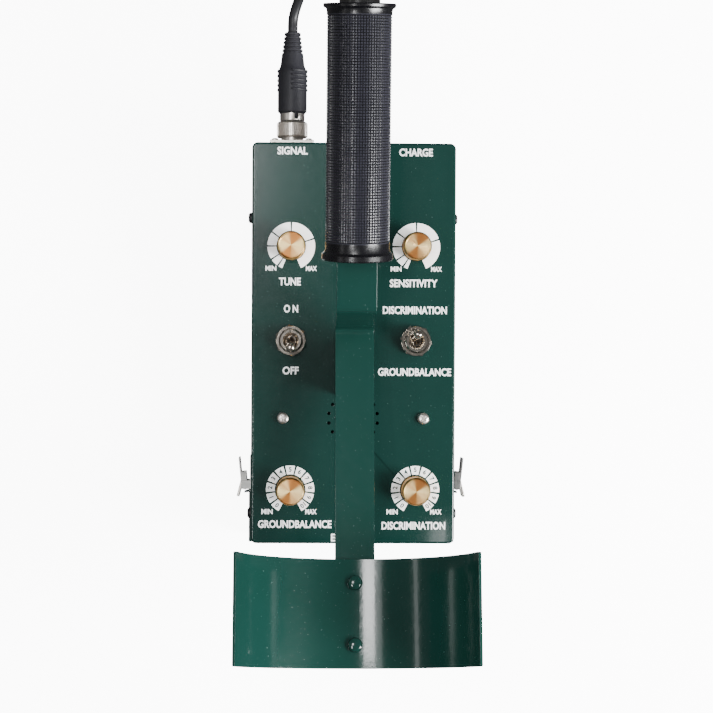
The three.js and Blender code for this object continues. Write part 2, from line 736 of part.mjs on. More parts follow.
function cuffSheet() {
  const halfAngle = Math.asin(cuff.chord / 2 / cuff.radius);
  const shape = new THREE.Shape();
  const outer = cuff.radius + cuff.thick;
  shape.absarc(0, outer, outer, -Math.PI / 2 - halfAngle, -Math.PI / 2 + halfAngle, false);
  shape.absarc(0, outer, cuff.radius, -Math.PI / 2 + halfAngle, -Math.PI / 2 - halfAngle, true);
  const sheet = new THREE.ExtrudeGeometry(shape, {
    depth: cuff.length, bevelEnabled: false, curveSegments: 36,
  });
  sheet.rotateX(Math.PI / 2);
  sheet.deleteAttribute('uv');
  const edge = cuff.radius * Math.cos(halfAngle);
  const top = outer - edge + cuff.thick;
  const cornerCuts = [];
  for (const [, side] of sideNames) {
    for (const end of [0, -cuff.length]) {
      const inwards = end === 0 ? -1 : 1;
      const tool = new THREE.Shape();
      const r = cuff.corner;
      tool.moveTo(end - inwards, top + 1);
      tool.lineTo(end + inwards * r, top + 1);
      tool.lineTo(end + inwards * r, top);
      tool.quadraticCurveTo(end, top, end, top - r);
      tool.lineTo(end - inwards, top - r);
      const wedge = sideProfile(tool, 60).translate(side * (cuff.chord / 2), 0, 0);
      cornerCuts.push(wedge);
    }
  }
  const boltHoles = [cuffBolt.inset, cuff.length - cuffBolt.inset]
    .map((y) => rodAlong('z', cuffBolt.shank + gap, -2, cuff.thick + 2, 0, -y, 14));
  return cut(sheet, ...cornerCuts, ...boltHoles);
}
cuffGroup.add(piece('arm_cuff', cuffSheet(), 'greenPaint'));

rowNames.forEach(([row], index) => {
  const y = index === 0 ? -cuffBolt.inset : cuffBolt.inset - cuff.length;
  const low = -gap - bar.thick - cuffBolt.tail;
  const bolt = piece(`cuff_bolt_${row}`, upright(turned([
    [0, low], [cuffBolt.shank, low], [cuffBolt.shank, cuff.thick + gap + 0.4],
    [cuffBolt.head, cuff.thick + gap + 0.4], [cuffBolt.head * 0.8, cuff.thick + cuffBolt.headHeight],
    [0, cuff.thick + cuffBolt.headHeight + 0.5],
  ], 18)), 'greenPaint');
  bolt.position.set(0, y, 0);
  cuffGroup.add(bolt);
});
model.add(cuffGroup);

const barHoles = [cuffBolt.inset, cuff.length - cuffBolt.inset].map((y) => rodAlong(
  'z', cuffBolt.shank + gap, -bar.thick - 4, 2, 0, -y, 14,
).rotateX(-barAngle).translate(0, cuffFrontY, cuffSeat));
model.add(piece('rear_bar', cut(barSide, ...trimmers, ...barHoles), 'greenPaint'));

// The bracket fills the space between the panel and the bar behind the dip.
const bracketFront = bar.dipY - 6;
const bracketRear = bracketFront - bracket.length;
const barUnder = (y) => barRise(y) - bar.thick / Math.cos(barAngle) - 2 * gap;
const bracketBlock = sideProfile(outline([
  [bracketRear, panelZ + gap], [bracketFront, panelZ + gap],
  [bracketFront, barUnder(bracketFront)], [bracketRear, barUnder(bracketRear)],
]), bracket.width);
const bracketSlot = block(
  -bracket.width / 2 + 2, bracket.width / 2 - 2, bracketRear - 1, bracketFront + 1,
  panelZ + gap + 3, barUnder(bracketFront) - 3,
);
model.add(piece('bar_bracket', cut(bracketBlock, bracketSlot), 'greenPaint'));

// ---------- front brace from the box to the tube ahead of the grip ----------

const clampAt = grip.length + brace.ahead;
const clampCentre = along(clampAt);
const clampInner = tube.radius + gap;
const clampOuter = clampInner + brace.clamp;
const wallFront = frontY + gap;
const braceTop = along(clampAt - brace.top / 2).addScaledVector(
  new THREE.Vector3(0, Math.sin(gripAngle), -Math.cos(gripAngle)), clampOuter,
);
const braceTopEnd = braceTop.clone().addScaledVector(rise, brace.top);
const braceLine = [
  new THREE.Vector2(wallFront + brace.thick / 2, braceTabZ - brace.tab / 2),
  new THREE.Vector2(wallFront + brace.thick / 2, braceTabZ + brace.tab / 2),
  new THREE.Vector2(braceTop.y, braceTop.z),
  new THREE.Vector2(braceTopEnd.y, braceTopEnd.z),
];
const clampRing = rodAlong('y', clampOuter, -brace.top / 2, brace.top / 2, 0, 0, 24)
  .rotateX(gripAngle).translate(0, clampCentre.y, clampCentre.z);
const clampBore = rodAlong('y', clampInner, -brace.top, brace.top, 0, 0, 24)
  .rotateX(gripAngle).translate(0, clampCentre.y, clampCentre.z);
const braceStrip = sideProfile(strip(braceLine, 6, brace.thick), brace.width);
const braceHoles = sideNames.map(([, side]) => rodAlong(
  'y', panelScrew.shank + gap, wallFront - 1, wallFront + brace.thick + 1,
  side * brace.screwX, braceTabZ, 10,
));
const braceBody = cut(join(braceStrip, clampRing), clampBore, ...braceHoles);
model.add(piece('front_brace', braceBody, 'greenPaint'));

// ---------- telescopic rod: lower tube, lock collar and yoke ----------

const pivotReach = (bendEnd.z - pivot.height) / Math.sin(rodAngle);
const rodGroup = new THREE.Group();
rodGroup.position.copy(bendEnd);
rodGroup.rotation.x = -rodAngle;

const yokePlug = 30;
const tongueLength = 34;
const rodEnd = pivotReach - tongueLength;
const rodStart = tube.end - rod.overlap;
const lowerRod = ring(rod.radius - rod.wall, rod.radius, rodStart, rodEnd);
rodGroup.add(piece('lower_rod', lowerRod, 'blackTube'));

const collarStart = tube.end - collar.length + collar.past;
rodGroup.add(piece('lock_collar', turned([
  [tube.radius + gap, collarStart], [collar.radius - 2, collarStart],
  [collar.radius, collarStart + 3], [collar.radius, collarStart + collar.length - 3],
  [collar.radius - 3, collarStart + collar.length], [rod.radius + gap, collarStart + collar.length],
  [rod.radius + gap, tube.end + gap], [tube.radius + gap, tube.end + gap],
  [tube.radius + gap, collarStart],
], 24), 'blackPlastic'));

const yoke = cut(
  join(
    rodAlong('y', rod.radius - rod.wall - gap, rodEnd - yokePlug, rodEnd + 1, 0, 0, 20),
    rodAlong('y', rod.radius, rodEnd + gap, rodEnd + 12, 0, 0, 20),
    block(-pivot.tongue, pivot.tongue, rodEnd + 8, pivotReach, -8, 8),
    rodAlong('x', 8, -pivot.tongue, pivot.tongue, pivotReach, 0, 20),
  ),
  rodAlong('x', pivot.bolt + gap, -20, 20, pivotReach, 0, 16),
);
rodGroup.add(piece('coil_yoke', yoke, 'blackPlastic'));
model.add(rodGroup);

// ---------- search coil, skid plate, pivot bolt and wing nut ----------

const coilCentre = bendEnd.clone().addScaledVector(fall, pivotReach);
const coilGroup = new THREE.Group();
coilGroup.position.set(0, coilCentre.y, 0);
const coilBase = coil.skid + gap;
const coilTop = coilBase + coil.height;

function coilPlan(grow) {
  const shape = new THREE.Shape(circle(coil.radius + grow, 48));
  for (const [, side] of sideNames) {
    const half = radians(coil.window);
    const middle = side > 0 ? 0 : Math.PI;
    const hole = new THREE.Path();
    hole.absarc(0, 0, coil.ringInner - grow, middle - half, middle + half, false);
    hole.absarc(0, 0, coil.hub + grow, middle + half, middle - half, true);
    shape.holes.push(hole);
  }
  return shape;
}

const coilShell = new THREE.ExtrudeGeometry(coilPlan(-coil.round), {
  depth: coil.height - 2 * coil.round, bevelThickness: coil.round, bevelSize: coil.round,
  bevelSegments: 1, curveSegments: 14,
}).translate(0, 0, coilBase + coil.round);
const earInner = pivot.tongue + 0.8;
const earShapes = sideNames.map(([, side]) => {
  const [x0, x1] = [side * earInner, side * (earInner + pivot.ear)].sort((a, b) => a - b);
  return join(
    block(x0, x1, -pivot.earLength, pivot.earLength, coilTop - 2, coilTop + 4),
    block(x0, x1, -10, 10, coilTop, pivot.height),
    rodAlong('x', 10, x0, x1, 0, pivot.height, 24),
  );
});
const boltHole = rodAlong('x', pivot.bolt + gap, -40, 40, 0, pivot.height, 16);
coilGroup.add(piece('coil_housing', cut(join(coilShell, ...earShapes), boltHole), 'blackPlastic'));

const skidFloor = new THREE.ExtrudeGeometry(coilPlan(gap + coil.skid), {
  depth: coil.skid, bevelEnabled: false, curveSegments: 14,
});
const skidRim = upright(ring(coil.radius + gap, coil.radius + gap + coil.skid, 0, coil.lip, 48));
const skid = join(skidFloor, skidRim);
coilGroup.add(piece('coil_skid', skid, 'blackPlastic'));

const earOuter = earInner + pivot.ear + gap;
const coilBolt = piece('coil_bolt', turned([
  [0, -earOuter - pivot.headHeight], [pivot.head, -earOuter - pivot.headHeight],
  [pivot.head, -earOuter], [pivot.bolt, -earOuter], [pivot.bolt, earOuter + wing.height + 2],
  [0, earOuter + wing.height + 2],
], 18).rotateZ(-Math.PI / 2), 'blackPlastic');
coilBolt.position.set(0, 0, pivot.height);
coilGroup.add(coilBolt);

const wingNut = cut(
  join(
    rodAlong('x', wing.radius, 0, wing.height, 0, 0, 20),
    block(1, wing.height + 3, 3, wing.span, -wing.blade / 2, wing.blade / 2),
    block(1, wing.height + 3, -wing.span, -3, -wing.blade / 2, wing.blade / 2),
  ),
  rodAlong('x', pivot.bolt + gap, -2, wing.height + 6, 0, 0, 16),
);
const wingPiece = piece('wing_nut', wingNut, 'blackPlastic');
wingPiece.position.set(earOuter, 0, pivot.height);
coilGroup.add(wingPiece);

const glandPiece = piece('coil_gland', turned([
  [0, 0], [gland.radius, 0], [gland.radius, 5], [gland.tip, gland.length], [0, gland.length],
], 16), 'blackRubber');
const glandZ = coilTop + gland.radius * Math.sin(radians(gland.lean)) + gap;
glandPiece.position.set(gland.x, gland.y, glandZ);
glandPiece.rotation.x = radians(90 + gland.lean);
coilGroup.add(glandPiece);
model.add(coilGroup);

// ---------- signal cable, wound on the rod from the plug to the coil ----------

// A point beside the falling rod: its distance along, the turn and the radius.
function besideRod(distance, turn, radius) {
  const up = new THREE.Vector3(0, Math.sin(rodAngle), Math.cos(rodAngle));
  return down(distance)
    .addScaledVector(up, radius * Math.sin(turn))
    .add(new THREE.Vector3(radius * Math.cos(turn), 0, 0));
}

const windRadius = tube.radius + cable.radius + cable.off;

function wound() {
  const steps = cable.turns * cable.stepsPerTurn;
  const points = [];
  for (let i = 0; i <= steps; i += 1) {
    const t = i / steps;
    const turn = Math.PI + 2 * Math.PI * cable.turns * t;
    points.push(besideRod(cable.start + (cable.end - cable.start) * t, turn, windRadius));
  }
  return points;
}

function eased(corners, count) {
  return new THREE.CatmullRomCurve3(corners).getPoints(count);
}

const plugTip = new THREE.Vector3(-column, frontY + plugEnd + gap, socketZ);
const firstWrap = wound();
const approach = [[0.5, 9, 0.5], [5, 22, 9], [13, 38, 40], [18, 52, 84]]
  .map((step) => plugTip.clone().add(new THREE.Vector3(...step)));
const arrival = firstWrap[0].clone().add(new THREE.Vector3(-3, -16, -13));
const rising = eased([plugTip, ...approach, arrival, firstWrap[0]], 18).slice(0, -1);
const signalCable = sweep([...rising, ...firstWrap], cable.radius, cable.sides);
model.add(piece('signal_cable', signalCable, 'blackRubber'));

// Each place is [distance along the rod, half turns round it, how much further out].
const wrapEnd = firstWrap[firstWrap.length - 1];
const wrapHeading = wrapEnd.clone().sub(firstWrap[firstWrap.length - 2]).normalize();
const slackRoute = [
  wrapEnd.clone().addScaledVector(wrapHeading, 1.5 * gap),
  wrapEnd.clone().addScaledVector(wrapHeading, 8),
  ...[
    [262, 1.24, 3.6], [284, 1.3, 4.1], [306, 1.38, 4], [330, 1.6, 2.6], [354, 2.05, 0.8],
    [382, 2.6, 0], [410, 3.1, -0.2], [436, 3.65, -0.4], [462, 4.2, -0.6], [486, 4.7, -1],
    [506, 5, -1.6],
  ].map(([distance, halfTurns, out]) => besideRod(distance, Math.PI * halfTurns, windRadius + out)),
];
model.add(piece('rod_cable', sweep(eased(slackRoute, 36), cable.radius, cable.sides), 'blackRubber'));

const tail = new THREE.Vector3(0, -Math.sin(radians(gland.lean)), Math.cos(radians(gland.lean)));
const glandTip = glandPiece.position.clone().add(coilGroup.position)
  .addScaledVector(tail, gland.length + gap);
const slackEnd = slackRoute[slackRoute.length - 1];
const slackHeading = slackEnd.clone().sub(slackRoute[slackRoute.length - 2]).normalize();
const leadRoute = [
  slackEnd.clone().addScaledVector(slackHeading, 1.5 * gap),
  slackEnd.clone().addScaledVector(slackHeading, 14),
  slackEnd.clone().add(new THREE.Vector3(-4, 46, -8)),
  glandTip.clone().add(new THREE.Vector3(3, -46, 22)),
  glandTip.clone().addScaledVector(tail, 14),
  glandTip,
];
model.add(piece('coil_cable', sweep(eased(leadRoute, 14), cable.radius, cable.sides), 'blackRubber'));

// ---------- origin: bottom centre of the whole detector ----------

model.updateMatrixWorld(true);
const bounds = new THREE.Box3().setFromObject(model, true);
const centre = bounds.getCenter(new THREE.Vector3());
model.position.set(-centre.x, -centre.y, -bounds.min.z);

export default model;
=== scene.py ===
import math

import bpy
from mathutils import Euler, Matrix, Vector


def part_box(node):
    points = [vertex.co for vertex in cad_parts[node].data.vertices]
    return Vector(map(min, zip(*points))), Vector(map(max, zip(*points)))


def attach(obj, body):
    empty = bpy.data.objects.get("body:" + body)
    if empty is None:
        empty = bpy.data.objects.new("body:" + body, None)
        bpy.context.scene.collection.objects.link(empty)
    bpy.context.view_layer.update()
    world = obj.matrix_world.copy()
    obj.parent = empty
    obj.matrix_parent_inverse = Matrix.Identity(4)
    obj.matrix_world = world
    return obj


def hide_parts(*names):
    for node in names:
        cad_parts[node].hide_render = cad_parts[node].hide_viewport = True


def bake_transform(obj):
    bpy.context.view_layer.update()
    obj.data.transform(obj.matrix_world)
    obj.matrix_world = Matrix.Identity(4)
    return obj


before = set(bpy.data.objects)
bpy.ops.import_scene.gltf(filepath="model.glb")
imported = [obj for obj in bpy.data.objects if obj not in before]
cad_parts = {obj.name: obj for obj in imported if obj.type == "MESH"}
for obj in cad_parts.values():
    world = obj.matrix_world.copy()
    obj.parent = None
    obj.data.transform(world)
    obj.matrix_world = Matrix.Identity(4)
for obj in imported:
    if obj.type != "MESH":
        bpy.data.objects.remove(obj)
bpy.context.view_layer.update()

# ---------------------------------------------------------------- camera
# A long lens looks straight down on the control panel from about a metre,
# a little to the left of the middle and turned by a degree or two.

CAMERA_PLACE = (-0.0288, -0.4348, 1.1018)
CAMERA_TURN = [math.radians(angle) for angle in (-0.571, -1.694, 0.28)]
camera_data = bpy.data.cameras.new("camera")
camera_data.sensor_width = 36
camera_data.lens = 89.7
camera = bpy.data.objects.new("camera", camera_data)
camera.matrix_world = Matrix.LocRotScale(CAMERA_PLACE, Euler(CAMERA_TURN, "ZYX"), None)
bpy.context.scene.collection.objects.link(camera)
bpy.context.scene.camera = camera

# ---------------------------------------------------------------- floor and light
# A pale floor that is lit from within like a light table, a big soft light on each
# side, and slim ones whose reflections run down the arm cuff and along the grip.

FLOOR_GLOW = 9.0
WORLD_GLOW = 0.12


class Shade:
    """One output of a shader node. Arithmetic on it adds Math nodes."""

    def __init__(self, tree, socket=None):
        self.tree = tree
        self.socket = socket

    def node(self, kind, settings=(), inputs=(), output=0):
        """Adds any node: its settings first, then its sockets' values or links."""
        made = self.tree.nodes.new(kind)
        for name, value in dict(settings).items():
            setattr(made, name, value)
        for name, value in dict(inputs).items():
            if isinstance(value, Shade):
                self.tree.links.new(value.socket, made.inputs[name])
            else:
                made.inputs[name].default_value = value
        return Shade(self.tree, made.outputs[output])

    def maths(self, operation, *values):
        return self.node("ShaderNodeMath", {"operation": operation}, enumerate(values))

    def __add__(self, other):
        return self.maths("ADD", self, other)

    __radd__ = __add__

    def __sub__(self, other):
        return self.maths("SUBTRACT", self, other)

    def __rsub__(self, other):
        return self.maths("SUBTRACT", other, self)

    def __mul__(self, other):
        return self.maths("MULTIPLY", self, other)

    __rmul__ = __mul__

    def __pow__(self, other):
        return self.maths("POWER", self, other)


class Finish:
    """A material in the making, with its Object coordinates and its shader."""

    def __init__(self, name, **constants):
        self.material = bpy.data.materials.new(name)
        self.material.use_nodes = True
        self.tree = self.material.node_tree
        self.shader = self.tree.nodes["Principled BSDF"]
        self.start = Shade(self.tree)
        self.place = self.start.node("ShaderNodeTexCoord", output="Object")
        for socket, value in constants.items():
            self.shader.inputs[socket.replace("_", " ")].default_value = value

    def noise(self, size, detail=2.0, rough=0.5, squeeze=None):
        """Noise whose patches are about size metres across, or less along a squeezed axis."""
        grid = self.place
        if squeeze:
            grid = self.start.node("ShaderNodeVectorMath", {"operation": "MULTIPLY"}, {0: grid, 1: squeeze})
        return self.start.node(
            "ShaderNodeTexNoise", (),
            {"Vector": grid, "Scale": 1 / size, "Detail": detail, "Roughness": rough},
        )

    def axis(self, name):
        return self.start.node("ShaderNodeSeparateXYZ", (), {0: self.place}, name)

    def mix(self, factor, first, second):
        return self.start.node("ShaderNodeMix", {"data_type": "RGBA"}, {0: factor, 6: first, 7: second}, 2)

    def band(self, value, low, high):
        """0 below low, 1 above high."""
        return self.start.node(
            "ShaderNodeMapRange", {"interpolation_type": "SMOOTHSTEP"},
            {0: value, 1: low, 2: high},
        )

    def feed(self, socket, value):
        self.tree.links.new(value.socket, self.shader.inputs[socket])

    def bump(self, height, distance):
        self.feed("Normal", self.start.node("ShaderNodeBump", (), {"Height": height, "Distance": distance}))


floor_finish = Finish("pale_floor", Roughness=0.9, Specular_IOR_Level=0.1, Emission_Strength=FLOOR_GLOW)
cloudy = floor_finish.noise(0.4)
floor_finish.feed("Base Color", floor_finish.mix(cloudy, (0.93, 0.93, 0.93, 1), (0.96, 0.96, 0.96, 1)))
floor_finish.feed("Emission Color", floor_finish.mix(cloudy, (0.98, 0.98, 0.98, 1), (1, 1, 1, 1)))
bpy.ops.object.select_all(action="DESELECT")
bpy.ops.mesh.primitive_plane_add(size=60)
floor = bpy.context.object
floor.name = "floor"
floor.data.materials.append(floor_finish.material)
floor.visible_glossy = False
floor.visible_diffuse = False

world = bpy.data.worlds.new("studio")
bpy.context.scene.world = world
world.use_nodes = True
world.node_tree.nodes["Background"].inputs["Color"].default_value = (1, 1, 1, 1)
world.node_tree.nodes["Background"].inputs["Strength"].default_value = WORLD_GLOW

LIGHTS = [
    # name, place, turn about Y in degrees, width, length, watts, seen in reflections
    ("right_softbox", (1.35, 0.15, 0.95), 57, 0.9, 1.6, 48, False),
    ("left_softbox", (-1.35, 0.15, 1.0), -54, 0.7, 1.6, 16, False),
    ("strip", (-0.29, -0.14, 1.55), 0, 0.27, 0.26, 5.2, True),
    ("dim_strip", (-0.50, -0.19, 1.50), 0, 0.20, 0.34, 0.6, True),
    ("edge_strip", (-1.2, -0.30, 0.9), -52, 0.10, 1.4, 1.2, True),
    ("grip_light", (1.15, -0.86, 0.80), 54, 0.8, 0.5, 60, True),
    ("grip_strip", (-0.50, -0.70, 1.50), 0, 0.07, 0.36, 4.5, True),
]
for name, light_place, lean, width, length, watts, shiny in LIGHTS:
    light = bpy.data.lights.new(name, "AREA")
    light.shape = "RECTANGLE"
    light.size = width
    light.size_y = length
    light.energy = watts
    lamp = bpy.data.objects.new(name, light)
    lamp.visible_glossy = shiny
    lamp.location = light_place
    lamp.rotation_euler = (0, math.radians(lean), 0)
    bpy.context.scene.collection.objects.link(lamp)

# ---------------------------------------------------------------- signal cable
# One black rubber cable from the plug, twice round the tube, in a slack wave over
# the telescopic joint and down to the coil's gland. The tube and rod hold it.


def deselect():
    """Leaves edit mode, if it is on, with nothing selected."""
    if bpy.context.object and bpy.context.object.mode != "OBJECT":
        bpy.ops.object.mode_set(mode="OBJECT")
    bpy.ops.object.select_all(action="DESELECT")


def hold(piece):
    """Selects one piece alone and makes it the active one."""
    deselect()
    piece.select_set(True)
    bpy.context.view_layer.objects.active = piece


def seat(piece, place, turn=(0, 0, 0)):
    """Moves a piece made at the origin to its place, and leaves its object at the origin."""
    hold(piece)
    piece.location = place
    piece.rotation_euler = turn
    bpy.ops.object.transform_apply(location=True, rotation=True, scale=True)
    return piece


def fitted(piece, name, body, finish, nodes=(), smooth=38):
    """Names a finished piece, gives it its finish and hangs it on its body, if it has one."""
    hold(piece)
    piece.name = name
    piece.data.name = name
    piece.data.materials.clear()
    piece.data.materials.append(finish.material)
    if not piece.data.has_custom_normals:
        bpy.ops.object.shade_smooth_by_angle(angle=math.radians(smooth))
    if body:
        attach(piece, body)
    if nodes:
        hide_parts(*nodes)
    return piece


def middle(node):
    """The middle of a CAD node's box."""
    low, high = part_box(node)
    return (low + high) / 2


cable_rubber = Finish("cable_rubber", Roughness=0.42, Specular_IOR_Level=0.45)
cable_rubber.feed("Base Color", cable_rubber.mix(
    cable_rubber.noise(0.012, 3), (0.009, 0.009, 0.010, 1), (0.017, 0.017, 0.020, 1)
))
cable_rubber.feed("Roughness", 0.34 + 0.2 * cable_rubber.noise(0.004, 3))
cable_rubber.bump(cable_rubber.noise(0.0008, 2), 0.00004)

CABLE_RADIUS = 0.003
CABLE_GAP = 0.00045
ROD_TOP = Vector((0, -0.17507, 0.16016))
ROD_FALL = math.radians(10)
ROD_DOWN = Vector((0, math.cos(ROD_FALL), -math.sin(ROD_FALL)))
ROD_UP = Vector((0, math.sin(ROD_FALL), math.cos(ROD_FALL)))
WIND_RADIUS = 0.0156
WIND_START = 0.024
WIND_LENGTH = 0.214
WIND_STEPS = 48


def beside_rod(distance, turn, radius):
    """A point beside the falling rod: how far down it, at what turn and how far out."""
    out = ROD_UP * math.sin(turn) + Vector((math.cos(turn), 0, 0))
    return ROD_TOP + ROD_DOWN * distance + out * radius


def eased(corners, steps):
    """A smooth line through the corners, which slows down in the tight ones."""
    ends = [2 * corners[0] - corners[1], *corners, 2 * corners[-1] - corners[-2]]
    line = []
    for a, b, c, d in zip(ends, ends[1:], ends[2:], ends[3:]):
        times = [0]
        for near, far in ((a, b), (b, c), (c, d)):
            times.append(times[-1] + (far - near).length ** 0.5)
        for step in range(steps):
            t = times[1] + (times[2] - times[1]) * step / steps
            a1 = a.lerp(b, (t - times[0]) / (times[1] - times[0]))
            a2 = b.lerp(c, (t - times[1]) / (times[2] - times[1]))
            a3 = c.lerp(d, (t - times[2]) / (times[3] - times[2]))
            b1 = a1.lerp(a2, (t - times[0]) / (times[2] - times[0]))
            b2 = a2.lerp(a3, (t - times[1]) / (times[3] - times[1]))
            line.append(b1.lerp(b2, (t - times[1]) / (times[2] - times[1])))
    line.append(corners[-1])
    return line


def cable_piece(name, line):
    """A round cable along a line, closed at both ends and made a mesh."""
    curve = bpy.data.curves.new(name, "CURVE")
    curve.dimensions = "3D"
    curve.bevel_depth = CABLE_RADIUS
    curve.bevel_resolution = 4
    curve.use_fill_caps = True
    spline = curve.splines.new("POLY")
    spline.points.add(len(line) - 1)
    for point, place in zip(spline.points, line):
        point.co = (*place, 1)
    piece = bpy.data.objects.new(name, curve)
    bpy.context.scene.collection.objects.link(piece)
    hold(piece)
    bpy.ops.object.convert(target="MESH")
    return bpy.context.object


PLUG_TIP = Vector((-0.0365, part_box("signal_plug")[1].y + 0.0003, 0.036))
wraps = []
for step in range(WIND_STEPS + 1):
    share = step / WIND_STEPS
    wraps.append(beside_rod(WIND_START + WIND_LENGTH * share, math.pi + 4 * math.pi * share, WIND_RADIUS))
approach = [
    PLUG_TIP + Vector(step) / 1000
    for step in ((0.5, 9, 0.5), (5, 22, 9), (13, 38, 40), (18, 52, 84))
]
arrival = wraps[0] + Vector((-3, -16, -13)) / 1000
rising = eased([PLUG_TIP, *approach, arrival, wraps[0]], 6)[:-1]
fitted(
    cable_piece("signal_lead", rising + wraps), "signal_lead", "frame",
    cable_rubber, ["signal_cable"], 180,
)

heading = (wraps[-1] - wraps[-3]).normalized()
slack = [wraps[-1] + heading * CABLE_GAP, wraps[-1] + heading * 0.008] + [
    beside_rod(distance / 1000, math.pi * half_turns, WIND_RADIUS + out / 1000)
    for distance, half_turns, out in (
        (262, 1.24, 3.6), (284, 1.3, 4.1), (306, 1.38, 4), (330, 1.6, 2.6), (354, 2.05, 0.8),
        (382, 2.6, 0), (410, 3.1, -0.2), (436, 3.65, -0.4), (462, 4.2, -0.6), (486, 4.7, -1),
        (506, 5, -1.6),
    )
]
slack_lead = fitted(
    cable_piece("slack_lead", eased(slack, 6)), "slack_lead", None,
    cable_rubber, ["rod_cable"], 180,
)
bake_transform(slack_lead)

GLAND_LEAN = math.radians(50)
gland_tail = Vector((0, -math.sin(GLAND_LEAN), math.cos(GLAND_LEAN)))
gland_base = Vector((-0.027, 0.45936, 0.02631))
gland_tip = gland_base + gland_tail * 0.0183
slack_heading = (slack[-1] - slack[-2]).normalized()
lead = [
    slack[-1] + slack_heading * CABLE_GAP,
    slack[-1] + slack_heading * 0.014,
    slack[-1] + Vector((-0.004, 0.046, -0.008)),
    gland_tip + Vector((0.003, -0.046, 0.022)),
    gland_tip + gland_tail * 0.014,
    gland_tip,
]
coil_lead = fitted(
    cable_piece("coil_lead", eased(lead, 8)), "coil_lead", None,
    cable_rubber, ["coil_cable"], 180,
)
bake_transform(coil_lead)

# ---------------------------------------------------------------- control box
# A folded steel cover over a steel tray, both in glossy green enamel, and a drawer
# for the batteries whose cap wraps round the rear end.


def rounded(piece, width, segments, limit):
    """Rounds off the edges that are sharper than a limit in degrees."""
    hold(piece)
    edges = piece.modifiers.new("edges", "BEVEL")
    edges.width = width
    edges.segments = segments
    edges.limit_method = "ANGLE"
    edges.angle_limit = math.radians(limit)
    bpy.ops.object.modifier_apply(modifier="edges")
    return piece


def softened(node, width, segments=2, limit=32):
    """A merged copy of a CAD node whose sharp edges are rounded off, with its flats kept flat."""
    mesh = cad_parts[node].data.copy()
    piece = bpy.data.objects.new(node + "_piece", mesh)
    bpy.context.scene.collection.objects.link(piece)
    hold(piece)
    bpy.ops.mesh.customdata_custom_splitnormals_clear()
    bpy.ops.object.mode_set(mode="EDIT")
    bpy.ops.mesh.select_all(action="SELECT")
    bpy.ops.mesh.remove_doubles(threshold=0.00002)
    bpy.ops.mesh.dissolve_limited(angle_limit=math.radians(1))
    bpy.ops.object.mode_set(mode="OBJECT")
    rounded(piece, width, segments, limit)
    bpy.ops.object.shade_smooth_by_angle(angle=math.radians(40))
    flats = piece.modifiers.new("flats", "WEIGHTED_NORMAL")
    flats.keep_sharp = True
    bpy.ops.object.modifier_apply(modifier="flats")
    return piece


def green_enamel(name, dark, pale, gloss, peel_depth):
    """Sprayed enamel: clouded green, a fine orange-peel skin, dust nibs and dull patches."""
    paint = Finish(name, Specular_IOR_Level=0.45, Coat_Weight=0.3, Coat_Roughness=0.05)
    clouds = paint.noise(0.035, 3)
    nibs = paint.band(paint.noise(0.0011, 2), 0.71, 0.76)
    tone = paint.mix(clouds, dark, pale)
    paint.feed("Base Color", paint.mix(nibs * 0.35, tone, (0.12, 0.2, 0.18, 1)))
    paint.feed("Roughness", gloss + 0.06 * paint.noise(0.006, 3))
    peel = paint.noise(0.0016, 2) * 0.6 + paint.noise(0.0055, 1)
    paint.bump(peel + nibs * 0.5, peel_depth)
    return paint


box_paint = green_enamel(
    "green_enamel", (0.003, 0.020, 0.016, 1), (0.005, 0.027, 0.022, 1), 0.16, 0.000015,
)
bright_paint = green_enamel(
    "bright_enamel", (0.004, 0.026, 0.020, 1), (0.006, 0.032, 0.026, 1), 0.11, 0.00004,
)

fitted(softened("panel_cover", 0.0003), "cover", "frame", box_paint, ["panel_cover"])
fitted(softened("base_tray", 0.0003), "tray", "frame", box_paint, ["base_tray"])
fitted(softened("battery_drawer", 0.0003), "drawer", "battery_drawer", box_paint,
       ["battery_drawer"])

# ---------------------------------------------------------------- printed labels and dials
# White ink screened on the panel: two dials of seven growing steps, two numbered
# ones with eleven steps, and the plain names of the controls.

PANEL_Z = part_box("panel_cover")[1].z
INK = 0.00003
PANEL_Y = middle("panel_cover").y

# The white ink also glows faintly by itself. This is painted light, which lifts the print above what the
# lamps give it.
glowing_white_ink = Finish("glowing_white_ink", Roughness=0.5, Specular_IOR_Level=0.4, Emission_Strength=0.3)
worn = glowing_white_ink.band(glowing_white_ink.noise(0.0009, 3), 0.62, 0.74)
ink_tone_and_glow = glowing_white_ink.mix(worn, (0.92, 0.93, 0.92, 1), (0.55, 0.62, 0.59, 1))
glowing_white_ink.feed("Base Color", ink_tone_and_glow)
glowing_white_ink.feed("Emission Color", ink_tone_and_glow)
glowing_white_ink.bump(glowing_white_ink.noise(0.0007), 0.00002)
ink_dark = Finish("ink_dark", Roughness=0.5)
ink_dark.feed("Base Color", ink_dark.mix(
    ink_dark.noise(0.0009, 3), (0.008, 0.022, 0.02, 1), (0.02, 0.05, 0.045, 1)
))


def label(words, x, y, width, height, lift=INK, turn=0.0):
    """Words squeezed to a printed width and height, as thin raised ink. No width keeps their own."""
    deselect()
    bpy.ops.object.text_add()
    text = bpy.context.object
    text.data.body = words
    text.data.align_x = "CENTER"
    text.data.align_y = "CENTER"
    text.data.offset = 0.03
    text.data.extrude = 0.01
    text.data.resolution_u = 3
    bpy.ops.object.convert(target="MESH")
    piece = bpy.context.object
    corners = [vertex.co for vertex in piece.data.vertices]
    low = Vector([min(corner[i] for corner in corners) for i in range(3)])
    high = Vector([max(corner[i] for corner in corners) for i in range(3)])
    piece.location = -(low + high) / 2
    bpy.ops.object.transform_apply(location=True)
    size = high - low
    piece.scale = (width / size.x if width else height / size.y, height / size.y, INK / size.z)
    bpy.ops.object.transform_apply(scale=True)
    return seat(piece, (x, y, PANEL_Z + lift), (0, 0, turn))


